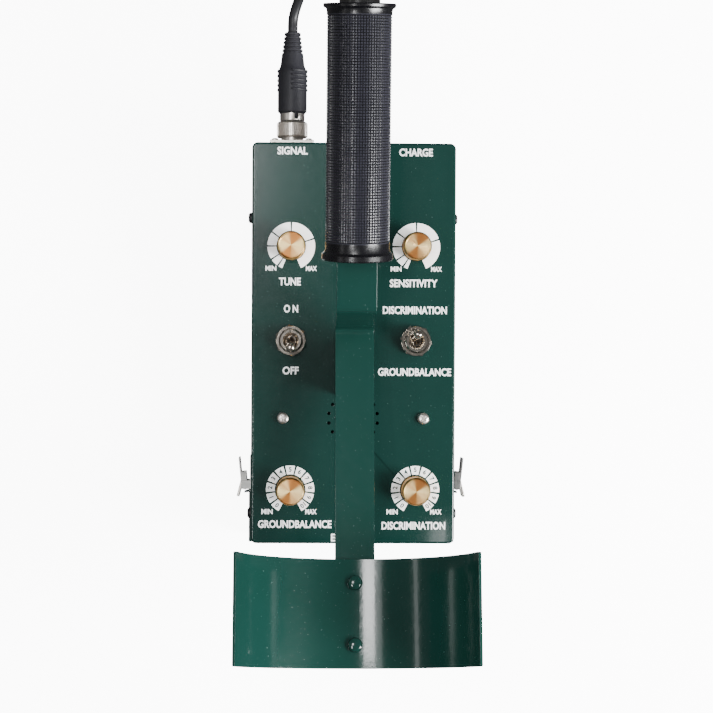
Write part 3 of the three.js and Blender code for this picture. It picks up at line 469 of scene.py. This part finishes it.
def printed_arc(inner, outer, start, end):
    """A thin sector between two radii and two angles. Its edge is spun back from the end."""
    deselect()
    wide = outer - inner
    bpy.ops.mesh.primitive_plane_add(size=wide, location=(inner + wide / 2, -wide / 2, 0))
    piece = bpy.context.object
    bpy.ops.object.transform_apply(location=True)
    bpy.ops.object.mode_set(mode="EDIT")
    bpy.ops.mesh.select_all(action="DESELECT")
    bpy.ops.object.mode_set(mode="OBJECT")
    for vertex in piece.data.vertices:
        vertex.select = vertex.co.y < -wide / 2
    bpy.ops.object.mode_set(mode="EDIT")
    bpy.ops.mesh.delete(type="VERT")
    bpy.ops.mesh.select_all(action="SELECT")
    steps = max(2, round(math.degrees(end - start) / 6))
    bpy.ops.mesh.spin(steps=steps, angle=end - start, center=(0, 0, 0), axis=(0, 0, 1))
    bpy.ops.mesh.select_all(action="SELECT")
    bpy.ops.mesh.normals_make_consistent(inside=False)
    bpy.ops.mesh.extrude_region_move(TRANSFORM_OT_translate={"value": (0, 0, INK)})
    bpy.ops.mesh.select_all(action="SELECT")
    bpy.ops.mesh.normals_make_consistent(inside=False)
    bpy.ops.object.mode_set(mode="OBJECT")
    return seat(piece, (0, 0, PANEL_Z + INK / 2), (0, 0, end))


def joined(pieces):
    deselect()
    for piece in pieces:
        piece.select_set(True)
    bpy.context.view_layer.objects.active = pieces[0]
    bpy.ops.object.join()
    return bpy.context.object


def copies(piece, count):
    """The piece and its twins, each with a mesh of its own, up to a count."""
    pieces = [piece]
    while len(pieces) < count:
        twin = piece.copy()
        twin.data = piece.data.copy()
        bpy.context.scene.collection.objects.link(twin)
        pieces.append(twin)
    return pieces


CAPITALS = 0.0046
white = [
    label(words, x / 1000, PANEL_Y + y / 1000, width / 1000, CAPITALS)
    for words, x, y, width in (
        ("SIGNAL", -36, 112, 17.6), ("CHARGE", 36, 111.5, 19.6),
        ("TUNE", -37.2, 35.8, 12.7), ("SENSITIVITY", 35, 35.2, 27.9),
        ("O N", -36.5, 20, 8.3), ("OFF", -36.5, -16, 9.4),
        ("DISCRIMINATION", 35.8, 19.5, 37.4), ("GROUNDBALANCE", 35.8, -16.6, 42.7),
        ("GROUNDBALANCE", -33.7, -105.6, 42.9), ("DISCRIMINATION", 35.6, -106.4, 37.2),
        ("EARPHONE", 0, -113.4, 25),
    )
]

GROWING = (250, 236, 214, 180, 144, 90, 18.6, -68)
GROWING_GAP = 4.2
growing_dial = []
for low, high in zip(GROWING[1:], GROWING):
    start, end = math.radians(low + GROWING_GAP / 2), math.radians(high - GROWING_GAP / 2)
    growing_dial.append(printed_arc(0.0086, 0.0139, start, end))
for words, x in (("MIN", -0.0118), ("MAX", 0.0118)):
    growing_dial.append(label(words, x, -0.013, 0.0063, 0.0029))
for node, dial in zip(("tune_knob", "sensitivity_knob"), copies(joined(growing_dial), 2)):
    spot = middle(node)
    white.append(seat(dial, (spot.x, spot.y, 0)))

NUMBERS = 11
NUMBER_RADIUS = 0.0118
STEP = math.radians(28.05)
STEP_GAP = math.radians(4.8)
numbered_dial = [label(words, x, -0.0128, 0.0066, 0.0030) for words, x in (("MIN", -0.0134), ("MAX", 0.0122))]
digits = []
for number in range(NUMBERS):
    centre = math.pi / 2 + (5 - number) * STEP
    half = (STEP - STEP_GAP) / 2
    numbered_dial.append(printed_arc(0.0090, 0.0141, centre - half, centre + half))
    digits.append(label(
        str(number), NUMBER_RADIUS * math.cos(centre), NUMBER_RADIUS * math.sin(centre),
        None, 0.0028, 2 * INK, centre - math.pi / 2,
    ))
dark = []
for node, dial, numbers in zip(
    ("ground_balance_knob", "discrimination_knob"), copies(joined(numbered_dial), 2),
    copies(joined(digits), 2),
):
    spot = middle(node)
    white.append(seat(dial, (spot.x, spot.y, 0)))
    dark.append(seat(numbers, (spot.x, spot.y, 0)))

fitted(joined(white), "white_print", "frame", glowing_white_ink, (), 20)
fitted(joined(dark), "dial_digits", "frame", ink_dark, (), 20)

# ---------------------------------------------------------------- feet and screws
# Rubber feet pushed into the tray, black pan-head screws through the cover's sides
# and two small bright cross-head screws that hold the speaker.


def turned(profile, sides=48):
    """A circle raised through (radius, height) pairs, as on a lathe, then closed."""
    deselect()
    radius, height = profile[0]
    bpy.ops.mesh.primitive_circle_add(vertices=sides, radius=radius, location=(0, 0, height))
    piece = bpy.context.object
    bpy.ops.object.transform_apply(location=True)
    bpy.ops.object.mode_set(mode="EDIT")
    bpy.ops.mesh.select_mode(type="VERT")
    bpy.ops.mesh.select_all(action="SELECT")
    for (radius, height), (new_radius, new_height) in zip(profile, profile[1:]):
        bpy.ops.mesh.extrude_region_move(
            TRANSFORM_OT_translate={"value": (0, 0, new_height - height)}
        )
        grow = new_radius / radius
        bpy.ops.transform.resize(value=(grow, grow, 1), center_override=(0, 0, new_height))
    bpy.ops.mesh.select_all(action="SELECT")
    bpy.ops.mesh.remove_doubles(threshold=0.000001)
    bpy.ops.mesh.fill_holes(sides=0)
    bpy.ops.mesh.select_all(action="SELECT")
    bpy.ops.mesh.normals_make_consistent(inside=False)
    bpy.ops.object.mode_set(mode="OBJECT")
    return piece


def carved(piece, tool, operation="DIFFERENCE"):
    """Cuts a tool out of a piece, or keeps what both share, and throws the tool away."""
    hold(piece)
    knife = piece.modifiers.new("knife", "BOOLEAN")
    knife.operation = operation
    knife.object = tool
    knife.solver = "EXACT"
    bpy.ops.object.modifier_apply(modifier="knife")
    bpy.data.objects.remove(tool)
    return piece


def blocked(low, high):
    """A block between two corners."""
    deselect()
    size = Vector(high) - Vector(low)
    bpy.ops.mesh.primitive_cube_add(size=1, location=(Vector(high) + Vector(low)) / 2)
    piece = bpy.context.object
    piece.scale = size
    bpy.ops.object.transform_apply(location=True, scale=True)
    return piece


def cross_head(piece, top, arm, wide, deep):
    """Cuts a cross recess into a screw head."""
    for long_x, long_y in ((arm, wide), (wide, arm)):
        carved(piece, blocked((-long_x, -long_y, top - deep), (long_x, long_y, top + 0.001)))
    return piece


def metal(name, colour, tint, rough, smudge):
    """Plated metal with a faint haze and smudges."""
    plate = Finish(name, Metallic=1.0)
    plate.feed("Base Color", plate.mix(plate.noise(0.004, 4), colour, tint))
    plate.feed("Roughness", rough + smudge * plate.noise(0.0025, 4))
    plate.bump(plate.noise(0.0006, 2, 0.6), 0.000005)
    return plate


foot_rubber = Finish("foot_rubber", Roughness=0.75)
foot_rubber.feed("Base Color", foot_rubber.mix(
    foot_rubber.noise(0.003, 3), (0.012, 0.012, 0.013, 1), (0.03, 0.03, 0.031, 1)
))
foot_rubber.bump(foot_rubber.noise(0.0006, 3), 0.00006)
foot = turned([
    (0.0035, 0.0006), (0.0046, 0), (0.0062, 0), (0.0069, 0.0008), (0.007, 0.002), (0.0066, 0.0033),
    (0.0060, 0.0037), (0.002, 0.0037), (0.002, 0.0052),
])
for corner, piece in zip(("front_left", "front_right", "rear_left", "rear_right"), copies(foot, 4)):
    node = "foot_" + corner
    spot = middle(node)
    seat(piece, (spot.x, spot.y, 0))
    fitted(piece, node + "_rubber", "frame", foot_rubber, [node])

black_oxide = Finish("black_oxide", Metallic=0.7)
black_oxide.feed("Base Color", black_oxide.mix(
    black_oxide.noise(0.002, 3), (0.015, 0.015, 0.016, 1), (0.05, 0.05, 0.052, 1)
))
black_oxide.feed("Roughness", 0.3 + 0.25 * black_oxide.noise(0.001, 3))
SHANK = 0.007
screw = cross_head(turned([
    (0.0016, -SHANK), (0.0016, 0.0003), (0.0032, 0.0003), (0.0032, 0.001), (0.0030, 0.0018),
    (0.0023, 0.0024), (0.0008, 0.0026),
], 32), 0.0026, 0.0018, 0.0004, 0.0013)
for place, piece in zip(("front_left", "front_right", "rear_left", "rear_right"), copies(screw, 4)):
    node = "side_screw_" + place
    low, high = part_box(node)
    spot = middle(node)
    if place.endswith("right"):
        seat(piece, (low.x + SHANK, spot.y, spot.z), (0, math.pi / 2, 0))
    else:
        seat(piece, (high.x - SHANK, spot.y, spot.z), (0, -math.pi / 2, 0))
    fitted(piece, node + "_black", "frame", black_oxide, [node])

bright_nickel = metal("bright_nickel", (0.80, 0.74, 0.68, 1), (0.96, 0.91, 0.85, 1), 0.24, 0.18)
screw = cross_head(turned([
    (0.0015, -0.009), (0.0015, 0.0003), (0.0034, 0.0003), (0.0034, 0.0011), (0.0031, 0.0018),
    (0.0022, 0.0023), (0.0008, 0.0024),
]), 0.0024, 0.0021, 0.0004, 0.0014)
for side, turn, piece in zip(("left", "right"), (20, 50), copies(screw, 2)):
    node = "panel_screw_" + side
    spot = middle(node)
    seat(piece, (spot.x, spot.y, PANEL_Z), (0, 0, math.radians(turn)))
    fitted(piece, node + "_bright", "frame", bright_nickel, [node])

# ---------------------------------------------------------------- knobs
# Solid brass, turned in one piece: a knurled side, a bevelled rim and a face with the fine rings of
# the lathe tool, over which bright and dark fans of reflection are painted.


def ribbed(piece, low, high, thickness, depth, least=0.0):
    """Sinks or raises each face of a band that stands upright, to leave ribs."""
    hold(piece)
    bpy.ops.object.mode_set(mode="EDIT")
    bpy.ops.mesh.select_mode(type="FACE")
    bpy.ops.mesh.select_all(action="DESELECT")
    bpy.ops.object.mode_set(mode="OBJECT")
    for polygon in piece.data.polygons:
        centre = polygon.center
        polygon.select = (
            low < centre.z < high and abs(polygon.normal.z) < 0.3
            and math.hypot(centre.x, centre.y) > least
        )
    bpy.ops.object.mode_set(mode="EDIT")
    bpy.ops.mesh.inset(thickness=thickness, depth=depth, use_individual=True)
    bpy.ops.object.mode_set(mode="OBJECT")
    return piece


def lathe_brass(node):
    """Brass whose face keeps the tool's rings round the knob's own middle, with a painted reflection of
    bright and dark fans round it.
    """
    spot = middle(node)
    brass = Finish(node + "_brass", Metallic=1.0)
    x = brass.axis("X") - spot.x
    y = brass.axis("Y") - spot.y
    radius = (x * x + y * y) ** 0.5
    angle = brass.start.maths("ARCTAN2", y, x)
    rings = brass.start.maths("SINE", radius * (2 * math.pi / 0.00042))
    # The fans on the face are a painted reflection: bright to the sides and dark to the front and back, as a
    # turned face looks under lamps at its sides.
    painted_reflection_fans = (
        brass.start.maths("COSINE", angle * 2 + 0.5) * 0.6
        + brass.start.maths("COSINE", angle * 4 - 1.0) * 0.3
        + brass.start.maths("SINE", angle * 7) * 0.12
    )
    on_face = brass.band(brass.axis("Z"), PANEL_Z + 0.0126, PANEL_Z + 0.0134)
    tarnish = brass.noise(0.002, 4)
    gold = brass.mix(tarnish, (0.80, 0.42, 0.12, 1), (0.93, 0.56, 0.20, 1))
    painted_reflection_tone = brass.band(painted_reflection_fans, -0.6, 0.7)
    face = brass.mix(painted_reflection_tone, (0.60, 0.24, 0.07, 1), (1.0, 0.74, 0.34, 1))
    brass.feed("Base Color", brass.mix(on_face, gold, face))
    brass.feed("Roughness", 0.26 + 0.14 * brass.noise(0.0012, 4))
    brass.bump(rings * on_face + brass.noise(0.0005, 2) * 0.5, 0.000012)
    return brass


knob = ribbed(turned([
    (0.003, -0.0108), (0.003, 0.0043), (0.0046, 0.0043), (0.0046, 0.001), (0.0078, 0.001),
    (0.0082, 0.0014), (0.0082, 0.0032), (0.0078, 0.0036), (0.0082, 0.0040), (0.0082, 0.0118),
    (0.0080, 0.0125), (0.0076, 0.0135), (0.0073, 0.0138), (0.0070, 0.0138), (0.0068, 0.0136),
], 72), 0.0045, 0.0117, 0.00008, -0.00022, 0.008)
for control, piece in zip(("tune", "sensitivity", "ground_balance", "discrimination"), copies(knob, 4)):
    node = control + "_knob"
    spot = middle(node)
    seat(piece, (spot.x, spot.y, PANEL_Z))
    fitted(piece, control + "_brass", node, lathe_brass(node), [node], 30)

# ---------------------------------------------------------------- toggle switches
# Nickel-plated: a threaded bushing through the panel, a six-sided nut with rounded
# shoulders on a washer, and a bat lever that rocks in the bushing's cup.

warm_nickel = metal("warm_nickel", (0.42, 0.37, 0.31, 1), (0.78, 0.72, 0.64, 1), 0.12, 0.14)
thread = []
for pitch in range(8):
    height = 0.0037 + 0.0006 * pitch
    thread += [(0.0064, height), (0.0060, height + 0.0003)]
body = turned([
    (0.0061, -0.0018), (0.0061, 0.0036), *thread, (0.0064, 0.0085), (0.0060, 0.009),
    (0.0047, 0.009), (0.0042, 0.0086), (0.0031, 0.0062), (0.003, 0.0012), (0.0008, 0.0011),
], 40)
carved(body, blocked((-0.0008, 0.0044, 0.0036), (0.0008, 0.0075, 0.0095)))
seat(body, (0, 0, PANEL_Z))
low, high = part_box("power_switch_body")
spot = middle("power_switch_nut")
case = rounded(blocked(
    (low.x - spot.x, low.y - spot.y, low.z), (high.x - spot.x, high.y - spot.y, PANEL_Z - 0.0018)
), 0.0006, 2, 32)
bushing = joined([body, case])

deselect()
bpy.ops.mesh.primitive_cylinder_add(vertices=6, radius=0.0094, depth=0.0026, location=(0, 0, 0.0022))
nut = bpy.context.object
bpy.ops.object.transform_apply(location=True)
carved(nut, turned([(0.0081, 0.0005), (0.0093, 0.0013), (0.0093, 0.0026), (0.0080, 0.0037)], 64), "INTERSECT")
carved(nut, turned([(0.0068, -0.001), (0.0068, 0.0029), (0.0074, 0.0045)], 48))
washer = turned([
    (0.0067, 0.0003), (0.0086, 0.0003), (0.0088, 0.0005), (0.0086, 0.0009), (0.0067, 0.0009),
    (0.0067, 0.0003),
], 48)
nut = joined([nut, washer])

bat = turned([
    (0.0010, -0.004), (0.0014, -0.0015), (0.0021, -0.0003), (0.0021, 0.0004), (0.0016, 0.0017),
    (0.0015, 0.003), (0.0019, 0.008), (0.0024, 0.0135), (0.0025, 0.0152), (0.0024, 0.0166),
    (0.0019, 0.0175), (0.0011, 0.0179), (0.0004, 0.018),
], 32)
BAT_LEAN = math.radians(15)
for switch, lean, nut_turn, one_bushing, one_nut, one_bat in zip(
    ("power", "mode"), (BAT_LEAN, -BAT_LEAN), (8, 22), copies(bushing, 2), copies(nut, 2), copies(bat, 2),
):
    spot = middle(switch + "_switch_nut")
    seat(one_bushing, (spot.x, spot.y, 0))
    fitted(one_bushing, switch + "_bushing", "frame", warm_nickel, [switch + "_switch_body"])
    seat(one_nut, (spot.x, spot.y, PANEL_Z), (0, 0, math.radians(nut_turn)))
    fitted(one_nut, switch + "_nut", "frame", warm_nickel, [switch + "_switch_nut"], 25)
    seat(one_bat, (spot.x, spot.y, PANEL_Z + 0.006), (lean, 0, 0))
    fitted(one_bat, switch + "_bat", switch + "_lever", warm_nickel, [switch + "_switch_lever"], 50)

# ---------------------------------------------------------------- inside the box
# The circuit board, the speaker's black cone, the potentiometers and the wrapped
# battery pack. They show only through the holes and when the drawer is out.

solder_mask = Finish("solder_mask", Roughness=0.35, Coat_Weight=0.3)
tracks = solder_mask.start.maths("SINE", solder_mask.axis("X") * 1900)
tracks = solder_mask.band(tracks + solder_mask.noise(0.012, 1) * 2, 1.5, 1.7)
above = solder_mask.band(solder_mask.axis("Z"), 0.0417, 0.0421)
solder_mask.feed("Base Color", solder_mask.mix(
    above, solder_mask.mix(tracks, (0.01, 0.09, 0.03, 1), (0.03, 0.18, 0.07, 1)), (0.02, 0.02, 0.022, 1)
))
solder_mask.bump(tracks, 0.00004)

pot_zinc = metal("pot_zinc", (0.45, 0.44, 0.42, 1), (0.62, 0.61, 0.58, 1), 0.32, 0.2)
cone_paper = Finish("cone_paper", Roughness=0.9)
cone_paper.feed("Base Color", cone_paper.mix(
    cone_paper.noise(0.0012, 3), (0.008, 0.008, 0.009, 1), (0.022, 0.022, 0.024, 1)
))
cone_paper.bump(cone_paper.noise(0.0006, 3), 0.00008)
shrink_film = Finish("shrink_film", Roughness=0.28, Coat_Weight=0.5)
cells = shrink_film.start.maths("SINE", shrink_film.axis("X") * (2 * math.pi / 0.0176))
shrink_film.feed("Base Color", shrink_film.mix(
    shrink_film.noise(0.006, 3), (0.03, 0.10, 0.34, 1), (0.05, 0.15, 0.44, 1)
))
shrink_film.bump(cells * 2 + shrink_film.noise(0.004, 3, 0.5, (1, 6, 1)), 0.0005)
for node, finish in (
    ("circuit_board", solder_mask), ("speaker", cone_paper), ("battery_pack", shrink_film),
    ("tune_pot", pot_zinc), ("sensitivity_pot", pot_zinc), ("ground_balance_pot", pot_zinc),
    ("discrimination_pot", pot_zinc),
):
    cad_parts[node].data.materials.clear()
    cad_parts[node].data.materials.append(finish.material)

# ---------------------------------------------------------------- sockets
# Nickel-plated: a square-flanged signal socket with four small screws, the charging
# socket beside it and the earphone socket in the rear wall.

WALL_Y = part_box("panel_cover")[1].y
plug_axis = Vector((-0.0365, WALL_Y, 0.036))
flange = [softened("signal_socket", 0.0003)]
head = cross_head(turned([
    (0.0019, 0), (0.0019, 0.0006), (0.0013, 0.0011), (0.0004, 0.0012),
], 24), 0.0012, 0.0012, 0.00025, 0.0007)
for (x, z), piece in zip(((-0.01, -0.01), (-0.01, 0.01), (0.01, -0.01), (0.01, 0.01)), copies(head, 4)):
    flange.append(seat(piece, plug_axis + Vector((x, 0.0033, z)), (-math.pi / 2, 0, 0)))
fitted(joined(flange), "signal_flange", "frame", bright_nickel, ["signal_socket"])
for node in ("charge_socket", "earphone_socket"):
    fitted(softened(node, 0.0003), node + "_jack", "frame", bright_nickel, [node])

# ---------------------------------------------------------------- signal plug
# A moulded black body with grip ridges on both sides and a ribbed strain relief,
# a slotted metal neck and a knurled coupling ring that screws on the socket.

moulded_black = Finish("moulded_black", Specular_IOR_Level=0.4)
moulded_black.feed("Base Color", moulded_black.mix(
    moulded_black.noise(0.008, 3), (0.011, 0.011, 0.014, 1), (0.020, 0.020, 0.025, 1)
))
moulded_black.feed("Roughness", 0.40 + 0.2 * moulded_black.noise(0.003, 3))
moulded_black.bump(moulded_black.noise(0.0005, 2), 0.00005)

NECK = 0.0155
BODY = 0.0205
RIDGES = 0.0335
RIDGE_PITCH = 0.0028
RELIEF = 0.0560
RELIEF_PITCH = 0.0024
relief = []
for rib in range(5):
    start = RELIEF + RELIEF_PITCH * rib
    radius = 0.0064 - 0.00032 * rib
    relief += [(radius, start), (radius - 0.0007, start + 0.0003), (radius - 0.0008, start + 0.0010),
               (radius - 0.0002, start + 0.0013)]
body = turned([
    (0.0045, 0.0046), (0.0045, NECK), (0.0079, NECK + 0.0052), (0.0085, BODY + 0.0005),
    (0.0087, BODY + 0.0016), (0.0087, 0.0445), (0.0084, 0.0458), (0.0076, 0.0478), (0.0072, 0.0490),
    *relief, (0.0049, 0.0680), (0.0044, 0.0685), (0.0035, 0.0685),
], 56)
ridge = turned([
    (0.0080, 0), (0.0088, 0), (0.0092, 0.0005), (0.0092, 0.0010), (0.0088, 0.0015), (0.0080, 0.0015),
    (0.0080, 0),
], 56)
ridges = []
for piece, near, far in zip(copies(ridge, 2), (-0.012, 0.0035), (-0.0035, 0.012)):
    carved(piece, blocked((near, -0.007, -0.001), (far, 0.007, 0.003)), "INTERSECT")
    for rib, copy in enumerate(copies(piece, 5)):
        ridges.append(seat(copy, (0, 0, RIDGES + RIDGE_PITCH * rib)))
joined([body, *ridges])
seat(body, (0, 0, 0), (0, 0, math.radians(-40)))
seat(body, plug_axis, (-math.pi / 2, 0, 0))
fitted(body, "plug_body", "frame", moulded_black, ["signal_plug"], 40)

neck = turned([
    (0.0060, NECK + 0.0002), (0.0072, NECK + 0.0002), (0.0074, NECK + 0.0006), (0.0074, BODY - 0.0002),
    (0.0060, BODY - 0.0002), (0.0060, NECK + 0.0002),
], 48)
slots = copies(blocked((0.004, -0.0012, NECK + 0.0012), (0.012, 0.0012, BODY + 0.001)), 4)
for number, slot in enumerate(slots):
    carved(neck, seat(slot, (0, 0, 0), (0, 0, math.radians(20 + 90 * number))))
seat(neck, plug_axis, (-math.pi / 2, 0, 0))
fitted(neck, "plug_neck", "frame", bright_nickel)

low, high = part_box("plug_collar")
collar_start, collar_end = low.y - WALL_Y, high.y - WALL_Y
coupling = turned([
    (0.0069, collar_start), (0.0086, collar_start), (0.0092, collar_start + 0.0006),
    (0.0092, collar_end - 0.0012), (0.0086, collar_end - 0.0004), (0.0080, collar_end),
    (0.0062, collar_end), (0.0062, collar_end - 0.002), (0.0069, collar_end - 0.002),
    (0.0069, collar_start),
], 60)
ribbed(coupling, collar_start + 0.0008, collar_end - 0.0014, 0.00014, -0.00035, 0.009)
seat(coupling, plug_axis, (-math.pi / 2, 0, 0))
fitted(coupling, "coupling_ring", "plug_collar", bright_nickel, ["plug_collar"], 25)

# ---------------------------------------------------------------- draw latches
# Pressed zinc-plated steel: a base with two ears, a lever on its pin and a bent wire
# bail that hooks behind the drawer's keeper.

latch_zinc = metal("latch_zinc", (0.36, 0.36, 0.35, 1), (0.55, 0.55, 0.53, 1), 0.26, 0.2)
for side in ("left", "right"):
    fitted(softened(f"latch_base_{side}", 0.0002), f"latch_plate_{side}", "frame", latch_zinc,
           [f"latch_base_{side}"])
    fitted(softened(f"latch_lever_{side}", 0.0002), f"latch_handle_{side}", f"{side}_latch_lever",
           latch_zinc, [f"latch_lever_{side}"])
    fitted(softened(f"latch_bail_{side}", 0.00045, 3), f"latch_wire_{side}", f"{side}_latch_bail",
           bright_nickel, [f"latch_bail_{side}"])

# ---------------------------------------------------------------- grip
# A black rubber sleeve over the tube. Its waffle of small square studs stops short
# of a smooth band and a flared lip at each end.

GRIP_SLOPE = math.radians(9)
grip_place = Vector((0, -0.39147, 0.1325))
grip_rubber = Finish("grip_rubber", Specular_IOR_Level=0.6)
along_x = grip_rubber.axis("X")
across = (
    (grip_rubber.axis("Z") - grip_place.z) * math.cos(GRIP_SLOPE)
    - (grip_rubber.axis("Y") - grip_place.y) * math.sin(GRIP_SLOPE)
)
along = (
    (grip_rubber.axis("Y") - grip_place.y) * math.cos(GRIP_SLOPE)
    + (grip_rubber.axis("Z") - grip_place.z) * math.sin(GRIP_SLOPE)
)
STUD = 0.0015
STUD_ROWS = 80
waffle_start = 0.0105
waffle_end = waffle_start + STUD * STUD_ROWS
waffle = grip_rubber.band(along, waffle_start - 0.0012, waffle_start - 0.0006) * (
    1 - grip_rubber.band(along, waffle_end + 0.0006, waffle_end + 0.0012)
)
# Painted shade and light: everything off the stud tops is near black, which in the grooves between the studs
# is painted shade, and the stud tops are lighter, as if lit.
tops = waffle * grip_rubber.band((along_x * along_x + across * across) ** 0.5, 0.0171, 0.0174)
painted_lit_top_tone = grip_rubber.mix(grip_rubber.noise(0.01, 3), (0.016, 0.016, 0.022, 1), (0.028, 0.028, 0.038, 1))
grip_rubber.feed("Base Color", grip_rubber.mix(tops, (0.002, 0.002, 0.003, 1), painted_lit_top_tone))
grip_rubber.feed("Roughness", 0.22 + waffle * 0.18 - 0.22 * tops + 0.10 * grip_rubber.noise(0.002, 3))
grip_rubber.bump(grip_rubber.noise(0.0006, 2), 0.00002)

sleeve = turned([
    (0.0113, 0), (0.0192, 0), (0.0196, 0.0006), (0.0194, 0.0032), (0.0180, 0.0046), (0.0176, 0.0062),
    (0.0176, waffle_start - 0.0006), (0.0170, waffle_start),
] + [(0.0170, waffle_start + STUD * row) for row in range(1, STUD_ROWS + 1)] + [
    (0.0176, waffle_end + 0.0006), (0.0176, 0.1328), (0.0180, 0.1342), (0.0194, 0.1352),
    (0.0196, 0.1364), (0.0192, 0.137), (0.0113, 0.137), (0.0113, 0),
], 72)
ribbed(sleeve, waffle_start, waffle_end, 0.00036, 0.0005, 0.015)
seat(sleeve, grip_place, (GRIP_SLOPE - math.pi / 2, 0, 0))
fitted(sleeve, "waffle_grip", "frame", grip_rubber, ["grip"], 30)

# ---------------------------------------------------------------- handle and arm cuff
# A flat steel bar leaves the grip over a crest, dips to a bracket on the panel and
# rises to the cuff, a rolled steel sheet on two bolts. All of it is sprayed together.

for node, name in (("rear_bar", "flat_bar"), ("arm_cuff", "rolled_cuff")):
    fitted(softened(node, 0.0005, 3, 40), name, "frame", bright_paint, [node], 30)
for node, name in (("bar_bracket", "bracket_block"), ("front_brace", "tube_brace")):
    fitted(softened(node, 0.0005), name, "frame", bright_paint, [node])

CUFF_SLOPE = math.radians(12)
CUFF_FRONT = Vector((0, -0.55747, 0.11583))
cuff_rise = Vector((0, -math.cos(CUFF_SLOPE), math.sin(CUFF_SLOPE)))
bolt = turned([
    (0.0024, -0.0083), (0.0024, 0.0023), (0.0041, 0.0023), (0.0041, 0.0029), (0.0038, 0.0035),
    (0.0028, 0.0041), (0.0008, 0.0043),
], 40)
for end, distance, piece in zip(("front", "rear"), (0.013, 0.047), copies(bolt, 2)):
    node = "cuff_bolt_" + end
    seat(piece, CUFF_FRONT + cuff_rise * distance, (-CUFF_SLOPE, 0, 0))
    fitted(piece, node + "_painted", "frame", bright_paint, [node])

# ---------------------------------------------------------------- tube and telescopic rod
# Black-coated aluminium tube, bent once ahead of the grip, with the lower rod sliding
# in it and a ribbed twist collar that clamps the two.

black_coat = Finish("black_coat", Metallic=0.2, Specular_IOR_Level=0.5, Coat_Weight=0.25)
black_coat.feed("Base Color", black_coat.mix(
    black_coat.noise(0.02, 3), (0.014, 0.014, 0.015, 1), (0.028, 0.028, 0.030, 1)
))
scuffs = black_coat.band(black_coat.noise(0.0012, 3, 0.6, (1, 0.12, 1)), 0.60, 0.75)
black_coat.feed("Roughness", 0.30 + 0.25 * scuffs)
black_coat.bump(black_coat.noise(0.0009, 2), 0.00003)

for node, name, body in (("main_tube", "bent_tube", "frame"), ("lower_rod", "sliding_rod", "lower_rod")):
    fitted(softened(node, 0.0004, 2, 60), name, body, black_coat, [node], 40)

COLLAR_START = 0.274
collar = turned([
    (0.0113, 0), (0.0138, 0), (0.0146, 0.001), (0.0155, 0.0035), (0.0155, 0.0330), (0.0146, 0.0352),
    (0.0132, 0.0372), (0.0125, 0.038), (0.0095, 0.038), (0.0095, 0.0263), (0.0113, 0.0263), (0.0113, 0),
], 60)
ribbed(collar, 0.004, 0.033, 0.0003, -0.0006, 0.015)
seat(collar, ROD_TOP + ROD_DOWN * COLLAR_START, (-ROD_FALL - math.pi / 2, 0, 0))
fitted(collar, "twist_collar", "lock_collar", moulded_black, ["lock_collar"], 30)
fitted(softened("coil_yoke", 0.0006), "yoke", "lower_rod", moulded_black, ["coil_yoke"])

# ---------------------------------------------------------------- search coil
# Two moulded rings and a hub bar in one black shell, a clip-on skid plate under it,
# a plastic bolt through the ears with its wing nut, and the cable's rubber gland.

coil_shell = Finish("coil_shell", Specular_IOR_Level=0.4)
coil_shell.feed("Base Color", coil_shell.mix(
    coil_shell.noise(0.03, 3), (0.012, 0.013, 0.014, 1), (0.024, 0.025, 0.027, 1)
))
coil_shell.feed("Roughness", 0.42 + 0.2 * coil_shell.noise(0.004, 3))
coil_shell.bump(coil_shell.noise(0.0007, 2), 0.00008)

fitted(softened("coil_housing", 0.0012, 3), "coil_body", "search_coil", coil_shell,
       ["coil_housing"], 40)
fitted(softened("coil_skid", 0.0004), "skid_plate", "search_coil", coil_shell,
       ["coil_skid"], 40)
fitted(softened("coil_bolt", 0.0008), "hinge_bolt", "search_coil", moulded_black,
       ["coil_bolt"])
fitted(softened("wing_nut", 0.0008, 3), "wing", "wing_nut", moulded_black, ["wing_nut"])

gland_ribs = []
for rib in range(4):
    start = 0.0060 + 0.0028 * rib
    radius = 0.0053 - 0.00025 * rib
    gland_ribs += [(radius - 0.0008, start), (radius - 0.0008, start + 0.0012),
                   (radius, start + 0.0014), (radius, start + 0.0026)]
gland = turned([
    (0.0050, 0), (0.0055, 0.0005), (0.0055, 0.0052), *gland_ribs, (0.0040, 0.0177), (0.0034, 0.018),
], 32)
seat(gland, gland_base, (GLAND_LEAN, 0, 0))
fitted(gland, "gland_boot", "search_coil", cable_rubber, ["coil_gland"])
